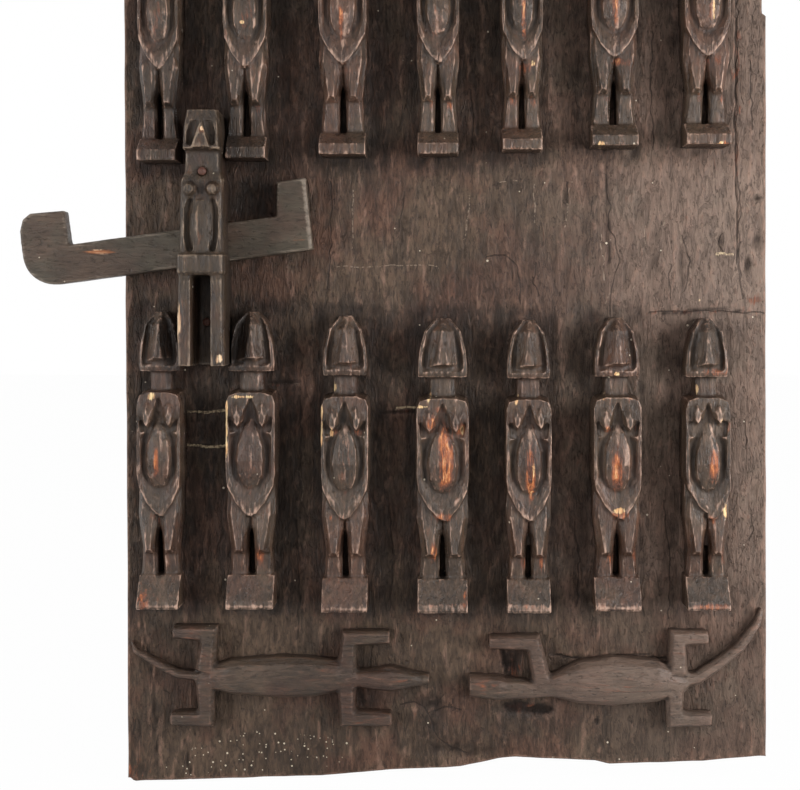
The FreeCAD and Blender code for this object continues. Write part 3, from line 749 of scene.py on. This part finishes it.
bm = bmesh.new()
bm.verts.layers.float.new("u")
bm.verts.layers.float.new("v")
arris = 3.6 * MM
grid_on_board(bm, across, upwards, arris, door_low.y)
border = [e for e in bm.edges if e.is_boundary]
rings_mm = [(2.2, 0.35), (1.2, 0.95), (0.45, 1.9), (0, 3.6), (0, 9), (0, 16), (0, 22.5), (0.5, 24.4), (1.6, 25)]
for inset, depth in rings_mm:
    made = bmesh.ops.extrude_edge_only(bm, edges=border)["geom"]
    border = [e for e in made if isinstance(e, bmesh.types.BMEdge) and e.is_boundary]
    for vert in {v for e in border for v in e.verts}:
        share_x, share_z = (vert[bm.verts.layers.float[key]] for key in "uv")
        vert.co = on_outline(share_x, share_z, inset * MM, door_low.y + depth * MM)
back_inset = 4.0 * MM
back_shares = np.linspace(0, 1, back_columns + 1), np.linspace(0, 1, back_rows + 1)
back_verts = grid_on_board(bm, *back_shares, back_inset, door_high.y)
back_border = list({e for v in back_verts for e in v.link_edges if e.is_boundary})
# Known fault: the bridge crosses the inside of the board and leaves the back grid facing inwards.
bmesh.ops.bridge_loops(bm, edges=border + back_border)
bmesh.ops.recalc_face_normals(bm, faces=bm.faces)
plank_mesh = bpy.data.meshes.new("plank")
bm.to_mesh(plank_mesh)
bm.free()
print("plank faces:", len(plank_mesh.polygons))

# %% [markdown]
# ### Strokes, splits and hollows
#
# The marks of the plank come from three causes. The adze left long strokes down the board, the gouge left
# a cleaned hollow round every figure, and age added drying splits, saw lines and a few rotten pockets near
# the foot. Each split is a line of pixels that is turned into a groove by its distance from every point.

# %% Lines and hollows
splits = [
    ([(737, -170), (737, 0), (736, 120), (738, 200), (737, 262)], 0.9, 1.1),
    ([(648, 314), (676, 312), (705, 310), (735, 311), (770, 313)], 1.1, 0.8),
    ([(553, 655), (575, 658), (598, 661), (622, 655), (645, 656), (668, 659)], 1.2, 0.9),
    ([(186, 411), (226, 412)], 1.1, 0.9),
    ([(385, 411), (416, 410)], 1.1, 0.9),
    ([(187, 446), (228, 447)], 1.0, 0.8),
    ([(262, 384), (301, 383)], 1.2, 0.9),
    ([(505, 706), (522, 711), (552, 712)], 1.8, 1.8),
    ([(500, 640), (505, 662), (512, 690)], 1.4, 1.6),
    ([(141, 620), (152, 690), (158, 770)], 1.2, 0.9),
    ([(183, 740), (190, 784)], 1.1, 0.9),
    ([(598, 40), (607, 180), (609, 262)], 1.8, 0.8),
]
hollows = [
    (432, 716, 12, 18, 1.8), (424, 702, 14, 6, 1.4), (524, 708, 22, 7, 3.0), (542, 711, 9, 5, 1.8),
    (510, 662, 9, 13, 2.6), (597, 722, 3, 2.5, 1.2), (600, 742, 2.4, 5, 1.2), (596, 758, 2.5, 3, 1.0),
    (448, 744, 20, 7, 1.4), (565, 664, 14, 6, 1.4), (480, 690, 16, 8, 1.2), (755, 300, 12, 7, 0.9),
    (352, 300, 30, 22, 0.5), (254, 199, 16, 18, 1.0), (470, 752, 40, 6, 1.2), (700, 655, 24, 12, 0.8),
    (758, 198, 5, 4, 1.2), (757, 242, 6, 9, 1.2), (749, 264, 3, 8, 1.4), (721, 240, 4, 10, 0.9),
    (566, 196, 3, 12, 0.9), (552, 262, 5, 16, 0.6), (655, 250, 7, 22, 0.7), (684, 270, 6, 20, 0.8),
    (705, 232, 6, 26, 0.7), (640, 190, 10, 20, 0.5),
]
cracks = [
    [(484, 257), (496, 255), (508, 256), (516, 265), (519, 285), (519, 305)], [(568, 180), (567, 203)],
    [(606, 172), (606, 190), (610, 205), (608, 226), (617, 244), (619, 262), (612, 285), (611, 318)],
    [(737, 150), (740, 200), (739, 262), (743, 300)], [(650, 312), (700, 311), (735, 312), (769, 313)],
    [(555, 655), (575, 658), (598, 661), (622, 655), (645, 656), (664, 658)],
    [(722, 230), (719, 243), (723, 256)], [(536, 262), (533, 280), (538, 296)],
    [(672, 262), (668, 282), (672, 300)], [(682, 234), (690, 262), (684, 292)], [(712, 560), (716, 575)],
    [(750, 512), (752, 530), (748, 542)], [(744, 420), (747, 452)], [(296, 520), (300, 600), (297, 640)],
    [(388, 505), (394, 560), (390, 612)], [(574, 520), (580, 560), (577, 608)],
    [(664, 500), (670, 560), (668, 620)], [(330, 180), (331, 240), (328, 290)], [(404, 190), (400, 232)],
    [(300, 395), (302, 470)], [(470, 90), (474, 150)], [(140, 330), (143, 420), (141, 470)],
    [(652, 30), (650, 100), (655, 150)], [(750, 60), (752, 130)],
    [(400, 704), (414, 702), (424, 706), (430, 722), (438, 738), (450, 747), (468, 752)],
    [(430, 712), (446, 706), (462, 710)], [(442, 694), (436, 706)], [(452, 698), (452, 712)],
    [(737, -100), (737, 0), (736, 120), (738, 170)], [(164, 690), (170, 694)], [(133, 716), (134, 734)],
    [(140, 718), (141, 736)], [(448, 752), (449, 764)], [(571, 752), (572, 760)], [(597, 716), (595, 726)],
]
saw_lines = [
    [(184, 411), (206, 412), (226, 411)], [(182, 445), (206, 446), (228, 446)], [(396, 408), (420, 407)],
    [(716, 254), (734, 254)],
]
scratches = [
    [(337, 267), (372, 266), (410, 265), (440, 266)], [(534, 183), (535, 205), (533, 226)],
    [(572, 181), (567, 198), (566, 228)], [(262, 384), (302, 383)], [(600, 232), (604, 262), (604, 280)],
    [(612, 292), (606, 306)], [(646, 225), (645, 245)], [(664, 216), (662, 228)], [(680, 226), (682, 244)],
    [(630, 290), (636, 282)], [(744, 198), (750, 210)], [(500, 182), (520, 180)], [(300, 470), (303, 500)],
    [(352, 190), (353, 250)], [(470, 195), (466, 240)], [(425, 120), (421, 150)], [(766, 40), (766, 150)],
    [(767, 180), (768, 330)],
]


def signed_gap(x, y, lines, far):
    """The distance from the nearest of some lines, above 0 on one side and below 0 on the other."""
    nearest = np.full(len(x), far)
    for line in lines:
        for (ax, ay), (bx, by) in zip(line[:-1], line[1:]):
            length = math.hypot(bx - ax, by - ay)
            along = ((x - ax) * (bx - ax) + (y - ay) * (by - ay)) / length
            aside = ((x - ax) * (by - ay) - (y - ay) * (bx - ax)) / length
            beside = (along > -0.5) & (along < length + 0.5) & (np.abs(aside) < np.abs(nearest))
            nearest = np.where(beside, aside, nearest)
    return nearest


def box_gap(points, low, high):
    """The distance across the board's face from an upright box, shortened on the side that faces the middle, so
    that the painted shade and the cleared hollow beside a figure reach further on that side.
    """
    to_left = np.maximum(low.x - points[:, 0], 0)
    to_right = np.maximum(points[:, 0] - high.x, 0)
    if low.x + high.x > 0:
        off_x = to_left / 1.25 + to_right * 1.8
    else:
        off_x = to_left * 1.2 + to_right / 1.6
    off_z = np.maximum(np.maximum(low.z - points[:, 2], points[:, 2] - high.z), 0)
    return np.hypot(off_x, off_z)


# %% Press the marks into the board
relief_nodes = [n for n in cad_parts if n.startswith("figure_")]
reptile_nodes = ["reptile_left", "reptile_right"]
points = points_of(plank_mesh)
normals = normals_of(plank_mesh)
facing = np.clip(-normals[:, 1], 0, 1)
behind = np.clip(normals[:, 1], 0, 1)
x, y = pixels_of(points)
wavering_x = x + 1.6 * wander(points, (7 * MM, 1, 9 * MM), 41)
wavering_y = y + 2.2 * wander(points, (9 * MM, 1, 7 * MM), 42)

drift = np.zeros_like(points)
drift[:, 0] = 3.2 * MM * wander(points, mm(30, 30, 34), 31)
depth = 0.9 * MM * swell(points, mm(46, 40, 150), 1)
depth += 1.3 * MM * (1 - scoops(points, mm(13, 30, 38), 2))
depth += 0.50 * MM * swell(points + drift, mm(5, 20, 24), 3)
depth += 0.50 * MM * swell(points + drift, mm(9, 20, 18), 4)
depth += 0.35 * MM * swell(points, mm(6, 20, 7), 5)
cleared = np.zeros(len(points))
for node in relief_nodes:
    low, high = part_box(node)
    gap = box_gap(points, low, high)
    cleared = np.maximum(cleared, np.exp(-(gap / (9 * MM)) ** 2))
depth += cleared * (0.5 * MM + 0.8 * MM * (1 - scoops(points, mm(7, 30, 9), 6)))
grooves = np.zeros(len(points))
for line, half_width, deep_mm in splits:
    gap = line_gap(wavering_x, wavering_y, line)
    grooves = np.maximum(grooves, deep_mm * MM * np.exp(-(gap / half_width) ** 2))
sunk = np.clip(spots(points, hollows), 0, 5) * MM
sunk *= 0.72 + 0.28 * wander(points, mm(5, 10, 4), 9)
front_depth = (depth + grooves + sunk) * facing
back_depth = 1.0 * MM * (1 - scoops(points, mm(38, 30, 70), 12)) + 0.4 * MM * swell(points, mm(6, 20, 120), 13)
back_depth *= behind
side_depth = 0.9 * MM * swell(points, mm(16, 9, 30), 14) * (1 - facing) * (1 - behind)
points = points - normals * (front_depth + back_depth + side_depth)[:, None]
points = np.clip(points, door_low, door_high)
print("deepest mark:", round(float(front_depth.max()) / MM, 1), "mm")

# %% Paint the board
x, y = pixels_of(points)
rubs = [
    (755, 300, 9, 5, 0.7), (270, 384, 10, 4, 0.7), (514, 668, 7, 12, 0.7), (134, 772, 14, 12, 0.6),
    (520, 707, 18, 5, 0.8), (737, 100, 5, 100, 0.35), (700, 312, 60, 3, 0.4), (410, 411, 8, 3, 0.6),
]
bares = [(730, 254, 3, 1.6, 1.2), (700, 300, 2, 2, 1.0)]
right_side = np.clip((x - 440) / 240, 0, 1)
# Painted shadows where the lock, the bolt's tab and the figures shade the board, and painted shade in its
# hollows and gaps.
shadow_spots = [
    (234, 130, 12, 36, 1.2), (172, 130, 9, 34, 0.6), (204, 60, 15, 60, 0.8), (252, 198, 25, 22, 1.2),
    (207, 440, 13, 60, 1.1), (207, 540, 10, 60, 0.5), (170, 342, 10, 30, 1.1), (238, 342, 11, 30, 1.2),
    (299, 80, 18, 80, 0.5), (510, 660, 9, 14, 0.7), (527, 709, 25, 8, 1.1), (430, 716, 12, 24, 0.7),
    (515, 732, 80, 18, 0.4), (366, 698, 14, 9, 0.9), (366, 662, 12, 8, 0.7), (516, 636, 10, 6, 0.4),
    (600, 735, 8, 26, 0.35), (200, 300, 40, 8, 0.4),
]
# Painted shade beside the figures, weaker towards the right, a little on the back, and the painted shadows
# listed above.
painted_shade = np.clip(1.5 * cleared, 0, 0.75) * facing * (1 - 0.8 * right_side) + 0.12 * behind
painted_shade = np.maximum(painted_shade, np.clip(spots(points, shadow_spots), 0, 0.92) * facing)
paint_wear_and_light(plank_mesh, points, rubs, bares, painted_shade)
dusty = [
    (245, 755, 45, 14, 1.2), (300, 752, 40, 14, 1.0), (185, 768, 22, 8, 1.0), (262, 740, 24, 8, 0.8),
    (150, 425, 30, 8, 0.5),
]
paint(plank_mesh, "dust", spots(points, dusty) * facing)
x = x + 2.0 * wander(points, mm(6, 20, 6), 51)
y = y + 1.2 * wander(points, mm(6, 20, 6), 52)
on_front = facing > 0.3
far = 9.0
for name, lines in (("crack", cracks), ("scratch", scratches), ("saw_line", saw_lines)):
    near = np.min([line_gap(x, y, line) for line in lines], axis=0)
    paint(plank_mesh, name, np.where(on_front, signed_gap(x, y, lines, far), far))
    paint(plank_mesh, name + "_near", np.where(on_front, near, far))
# Painted light: the board is drawn lighter towards the right and in a patch by the upright split on the right,
# less near the foot, and evenly a little on the back.
lower = np.clip((y - 560) / 70, 0, 1)
lighter_patch = np.clip((x - 603) / 10, 0, 1) * np.clip((y - 160) / 20, 0, 1) * np.clip((345 - y) / 50, 0, 1)
painted_light = np.clip((x - 430) / 330, 0, 1) * (0.72 - 0.32 * lower) + 0.20 * lighter_patch - 0.1
back_painted_light = 0.25
paint(plank_mesh, "painted_light", np.where(on_front, np.clip(painted_light, 0, 0.9), back_painted_light))
add_piece("plank", plank_mesh, "door", ["door_panel"], plank_wood)
print("plank triangles:", sum(len(p.vertices) - 2 for p in plank_mesh.polygons))

# %% [markdown]
# ## The standing figures
#
# Fourteen figures stand in two rows, cut with a knife from the same board. No two are the same: hands have
# rubbed some bellies, knees and breasts to orange, and some arms are split at the wrists. The worn patches
# are listed by pixel, by row and by the figure's number from the left, and so are the painted shadows and
# painted highlights. The unseen upper halves of the top row are guesses after the lower row. Random patches
# would be less to write, but they would not match the door.

# %% Worn patches, painted shadows and painted highlights
figure_rubs = {
    "lower": {
        1: [(156, 464, 3, 16, 0.9), (148, 600, 14, 16, 0.42), (158, 518, 7, 8, 0.45), (142, 605, 4, 10, 0.5)],
        2: [(259, 555, 5, 8, 0.9), (250, 470, 6, 20, 0.35), (232, 500, 3, 16, 0.4)],
        3: [(334, 432, 5, 5, 0.8), (358, 432, 5, 5, 0.7), (345, 466, 8, 24, 0.45), (336, 518, 10, 4, 0.5)],
        4: [(431, 424, 6, 8, 0.95), (461, 429, 6, 8, 0.85), (446, 458, 8, 31, 1.25), (434, 553, 4, 11, 0.9),
            (445, 518, 12, 5, 0.7), (466, 598, 3, 13, 0.6), (438, 410, 12, 4, 0.5), (446, 606, 22, 3, 0.5)],
        5: [(531, 470, 5, 27, 1.15), (523, 562, 3, 8, 0.7), (541, 563, 3, 8, 0.7), (530, 607, 22, 3, 0.4)],
        6: [(609, 429, 4, 4, 0.7), (637, 428, 4, 4, 0.7), (618, 472, 6, 24, 0.95), (611, 557, 4, 9, 0.7),
            (635, 555, 4, 9, 0.7), (604, 395, 3, 10, 0.6), (632, 395, 3, 10, 0.6), (620, 515, 12, 5, 0.7),
            (622, 607, 22, 3, 0.4)],
        7: [(714, 372, 14, 5, 0.6), (728, 427, 4, 6, 0.6), (714, 463, 5, 18, 0.95), (707, 562, 4, 9, 0.7),
            (724, 557, 4, 9, 0.7), (714, 607, 24, 4, 0.75), (735, 600, 3, 9, 0.7), (714, 520, 8, 5, 0.6)],
    },
    "upper": {
        1: [(158, 20, 6, 20, 0.5), (156, 106, 6, 8, 0.4)],
        2: [(259, 110, 5, 9, 0.7), (246, 20, 6, 22, 0.5), (224, 40, 3, 20, 0.5)],
        3: [(341, 22, 3, 18, 0.85), (345, 72, 10, 5, 0.4)],
        4: [(430, 104, 4, 8, 0.6), (449, 104, 4, 8, 0.6), (438, 20, 6, 22, 0.4)],
        5: [(524, 68, 9, 6, 0.7), (524, 18, 3, 24, 0.85), (514, 101, 4, 8, 0.6), (533, 101, 4, 8, 0.6),
            (514, 151, 14, 5, 0.6)],
        6: [(616, 10, 4, 20, 0.85), (611, 99, 8, 4, 0.6), (620, 62, 12, 5, 0.7), (628, 147, 14, 5, 0.4)],
        7: [(700, 98, 4, 6, 0.6), (723, 98, 4, 6, 0.6), (712, 60, 10, 6, 0.5), (727, 146, 7, 5, 0.9),
            (712, 10, 3, 20, 0.6)],
    },
}
figure_bares = {
    "lower": {
        1: [(152, 396, 5, 6, 0.8), (186, 420, 1.5, 14, 0.9)],
        2: [(226, 425, 2.0, 36, 1.2), (243, 397, 14, 1.8, 0.9), (237, 388, 3, 8, 0.7)],
        3: [(320.5, 425, 2.2, 28, 1.25), (331, 386, 7, 7, 0.9), (332, 432, 2.5, 5, 0.9)],
        4: [(429, 393, 3, 9, 1.1), (420, 407, 9, 1.6, 1.0), (446, 456, 3, 12, 0.8), (462, 430, 2, 5, 0.7)],
        5: [(517, 398, 2, 9, 0.9), (533, 470, 2.5, 9, 0.9)],
        6: [(617.5, 374, 5, 2.2, 0.9), (618, 511, 8, 3.2, 0.85), (603, 395, 3, 8, 0.8), (631, 395, 2, 8, 0.8)],
        7: [(725, 510, 2.5, 9, 0.85), (696, 389, 3, 7, 0.9), (722, 424, 2.5, 6, 0.6), (708, 562, 3, 3, 0.7),
            (735, 603, 2, 7, 0.8)],
    },
    "upper": {
        2: [(242, 22, 2.5, 1.5, 1.2)],
        5: [(533, 63, 2, 6, 0.7)],
        6: [(601, 147, 4, 7, 1.4)],
        7: [(714, 10, 1.6, 12, 0.8), (722, 144, 6, 3, 0.7)],
    },
}
# Painted shadows on the figures, mostly where the lock shades them.
figure_shadows = {
    "lower": {
        1: [(171, 342, 9, 30, 1.3)],
        2: [(237, 342, 11, 30, 1.4)],
        3: [(328, 388, 6, 6, 0.9)],
    },
    "upper": {
        1: [(176, 110, 8, 30, 0.8)],
        2: [(228, 120, 8, 34, 0.9)],
    },
}
# Painted highlights: lighter strips along the blocks and lighter streaks down the bellies.
figure_highlights = {
    "lower": {
        1: [([(140, 606), (187, 607)], 2.5, 0.5), ([(160, 432), (160, 450)], 2.0, 0.4)],
        2: [([(227, 606), (270, 607)], 2.5, 0.4), ([(251, 436), (251, 470)], 2.0, 0.35)],
        3: [([(328, 608), (371, 609)], 2.5, 0.5), ([(345, 430), (346, 480)], 2.0, 0.6)],
        4: [([(424, 607), (469, 608)], 2.5, 0.6), ([(440, 436), (438, 470)], 1.5, 0.6)],
        5: [([(508, 607), (553, 608)], 2.5, 0.6), ([(530, 432), (530, 452)], 2.0, 0.8)],
        6: [([(598, 607), (643, 608)], 2.5, 0.6), ([(629, 442), (627, 465)], 2.5, 0.8), ([(618, 430),
            (618, 444)], 2.0, 0.6)],
        7: [([(695, 607), (736, 607)], 2.5, 0.5), ([(711, 425), (714, 452)], 2.2, 0.7)],
    },
    "upper": {
        1: [([(164, 8), (165, 42)], 1.6, 0.6), ([(150, 10), (153, 40)], 1.4, 0.4)],
        2: [([(254, 20), (256, 42)], 1.8, 0.7)],
        3: [([(345, 14), (344, 45)], 2.6, 0.9), ([(340, 30), (342, 50)], 1.4, 0.6)],
        4: [([(436, 12), (438, 32)], 2.0, 0.7), ([(443, 10), (443, 30)], 1.4, 0.5)],
        5: [([(523, 0), (524, 50)], 2.0, 0.8)],
        6: [([(618, -10), (617, 44)], 2.4, 0.9)],
        7: [([(713, -10), (713, 46)], 1.8, 0.8), ([(700, 20), (704, 44)], 1.2, 0.4)],
    },
}
# Lines along the forearms, drawn lighter partly as wear and partly as a painted highlight.
forearm_lines = {
    "lower": {
        1: [(137, 487), (158, 516), (181, 487)], 2: [(226, 487), (250, 516), (275, 487)],
        3: [(322, 487), (344, 519), (368, 487)], 4: [(418, 492), (441, 520), (466, 492)],
        5: [(509, 493), (530, 521), (551, 493)], 6: [(595, 492), (619, 520), (641, 492)],
        7: [(686, 484), (710, 520), (730, 488)],
    },
    "upper": {
        1: [(138, 37), (158, 67), (178, 37)], 2: [(225, 37), (245, 66), (266, 37)],
        3: [(319, 36), (342, 63), (366, 36)], 4: [(418, 36), (439, 62), (459, 36)],
        5: [(503, 36), (523, 57), (541, 36)], 6: [(590, 34), (615, 56), (637, 34)],
        7: [(685, 33), (708, 55), (728, 33)],
    },
}

# %% Close the thighs
def thighs_closed(points, normals, low, high, knees):
    """Draws the inner sides of the thighs together, from the level of the knees up to the hands."""
    level = (points[:, 2] - low.z) / (high.z - low.z)
    near_middle = np.abs(points[:, 0] - (low.x + high.x) / 2) < 3.5 * MM
    inner = near_middle & (level > 0.10) & (level < 0.18) & (np.abs(normals[:, 0]) > 0.6)
    aside = points[:, 0] - points[inner, 0].mean()
    half_gap = 1.6 * MM * np.clip((level - knees) / 0.03, 0, 1) * np.clip((0.37 - level) / 0.04, 0, 1)
    reach = 5.0 * MM
    off = np.abs(aside)
    closed = np.maximum((off - half_gap) * reach / (reach - half_gap), np.minimum(off, 0.15 * MM))
    moved = points.copy()
    moved[:, 0] += np.where(off < reach, np.sign(aside) * closed - aside, 0)
    return moved


# %% Carve the figures
figure_faces = 0
knee_levels = {"lower": 0.245, "upper": 0.212}
forearm_width, forearm_wear_and_highlight = 1.5, 0.5
for number, node in enumerate(sorted(relief_nodes)):
    row = node.split("_")[1]
    figure = int(node.split("_")[2])
    mesh = skinned(node, 0.9 * MM)
    dents = [(618, 468, 3, 4, 1.2)] if node == "figure_lower_6" else []
    points, normals = cut_marks(
        mesh, scoop=mm(7, 7, 11), scoop_depth=0.50 * MM, grain=mm(2.2, 2.2, 20), grain_depth=0.22 * MM,
        dents=dents, seed=100 + 7 * number, softened=1)
    points = thighs_closed(points, normals, *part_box(node), knee_levels[row])
    # Painted shade on the figure's sides and near the plank, with its painted shadows.
    painted_shade = low_sides(points, normals, 26 * MM) + spots(points, figure_shadows[row].get(figure, []))
    light_lines = figure_highlights[row][figure] + [(forearm_lines[row][figure], forearm_width, forearm_wear_and_highlight)]
    bares = figure_bares[row].get(figure, [])
    paint_wear_and_light(mesh, points, figure_rubs[row][figure], bares, painted_shade, light_lines)
    set_points(mesh, set_into_plank(points))
    add_piece(node + "_carved", mesh, "door", [node], figure_wood)
    figure_faces += len(mesh.polygons)
print("faces on the fourteen figures:", figure_faces)

# %% [markdown]
# ## The two reptiles
#
# They lie along the foot of the board, nose to nose. Their bodies are long, smooth-cut ridges and their legs
# are bent like brackets, so the same skin and knife marks serve, with the grain turned to run along them.

# %% Carve the reptiles
reptile_rubs = {
    "reptile_left": [(190, 641, 8, 6, 0.4), (405, 682, 20, 6, 0.35), (364, 722, 14, 5, 0.4)],
    "reptile_right": [(488, 686, 10, 8, 0.42), (540, 645, 8, 8, 0.4), (700, 640, 10, 5, 0.4),
    (620, 690, 50, 5, 0.35)],
}
for number, node in enumerate(reptile_nodes):
    mesh = skinned(node, 1.0 * MM)
    points, normals = cut_marks(
        mesh, scoop=mm(13, 9, 8), scoop_depth=0.45 * MM, grain=mm(26, 2.4, 2.4), grain_depth=0.18 * MM,
        dents=[], seed=300 + 9 * number, softened=4)
    # Painted shade on the reptile's sides and near the plank.
    paint_wear_and_light(mesh, points, reptile_rubs[node], [], 0.7 * low_sides(points, normals, 15 * MM))
    # Painted light: the reptile is drawn lighter towards the right.
    paint(mesh, "painted_light", 0.55 * np.clip((pixels_of(points)[0] - 470) / 120, 0, 1))
    set_points(mesh, set_into_plank(points))
    add_piece(node + "_carved", mesh, "door", [node], reptile_wood)
    print(node, "faces:", len(mesh.polygons))

# %% [markdown]
# ## The lock and its bolt
#
# The lock case is a block carved as one more figure, smoother from years of handling, with two chips of bare
# wood. The bolt is a flat bar with a hooked end and an upright tab, free to slide behind it, so its marks only
# ever cut inwards and the gap to the lock stays open.

# %% Carve the lock, its pegs and the bolt
mesh = skinned("lock_figure", 0.9 * MM)
points, normals = cut_marks(
    mesh, scoop=mm(8, 8, 14), scoop_depth=0.35 * MM, grain=mm(2.2, 2.2, 24), grain_depth=0.14 * MM,
    dents=[(202, 129, 3, 3, 0.8), (178, 318, 2.5, 18, 0.7), (219, 359, 5, 6, 0.9)], seed=500)
# Painted shade on the lock's sides and near the plank, and a painted X-shaped shadow between its breasts.
lock_shade = low_sides(points, normals, 50 * MM)
x, y = pixels_of(points)
crossed_shadow_lines = ([(189, 179), (209, 200)], [(210, 181), (192, 200)])
for line in crossed_shadow_lines:
    lock_shade += 0.9 * np.exp(-(line_gap(x, y, line) / 2.0) ** 2)
lock_rubs = [
    (202, 129, 4, 4, 0.8), (186, 190, 5, 5, 0.35), (214, 190, 5, 5, 0.3), (178, 320, 5, 24, 0.8),
    (200, 232, 6, 14, 0.35),
]
lock_bares = [(177.5, 318, 3.4, 24, 1.3), (219, 359, 5, 7, 0.75), (202, 128, 2.2, 2.2, 1.5)]
# Painted highlights on the lock's nose, brim, legs and belly.
lock_highlights = [
    ([(201, 124), (191, 147)], 1.2, 0.9), ([(202, 124), (212, 147)], 1.2, 0.9),
    ([(184, 148), (222, 148)], 1.3, 0.4), ([(184, 262), (184, 290)], 1.6, 0.4),
    ([(216, 280), (217, 330)], 1.6, 0.3), ([(196, 212), (196, 240)], 1.6, 0.3),
]
paint_wear_and_light(mesh, points, lock_rubs, lock_bares, lock_shade, lock_highlights)
set_points(mesh, set_into_plank(points))
add_piece("lock_figure_carved", mesh, "door", ["lock_figure"], lock_wood)

for node in ("lock_peg_upper", "lock_peg_lower"):
    mesh = skinned(node, 0.45 * MM)
    points, normals = cut_marks(
        mesh, scoop=mm(3, 3, 3), scoop_depth=0.1 * MM, grain=mm(1, 4, 1), grain_depth=0.08 * MM,
        dents=[], seed=540)
    paint_wear_and_light(mesh, points, [], [], np.zeros(len(points)))
    add_piece(node + "_carved", mesh, "door", [node], peg_wood)

mesh = skinned("lock_bolt", 0.9 * MM)
points, normals = cut_marks(
    mesh, scoop=mm(26, 12, 12), scoop_depth=0.30 * MM, grain=mm(30, 2.4, 2.4), grain_depth=0.16 * MM,
    dents=[(98, 253, 14, 1.6, 0.5)], seed=560)
bolt_rubs = [(98, 252, 15, 2.4, 1.1), (300, 240, 8, 3, 0.3)]
bolt_bares = [(96, 250, 8, 0.9, 0.9), (103, 254, 7, 0.9, 0.8)]
# Painted highlights along the tab and the bolt's top edge.
bolt_highlights = [([(304, 181), (311, 246)], 3.0, 0.9), ([(72, 243), (175, 229)], 1.5, 0.35)]
# Painted shade on the bolt's sides and near the plank.
paint_wear_and_light(mesh, points, bolt_rubs, bolt_bares, 0.5 * low_sides(points, normals, 15 * MM), bolt_highlights)
add_piece("lock_bolt_carved", mesh, "bolt", ["lock_bolt"], bolt_wood)
print("bolt faces:", len(mesh.polygons))
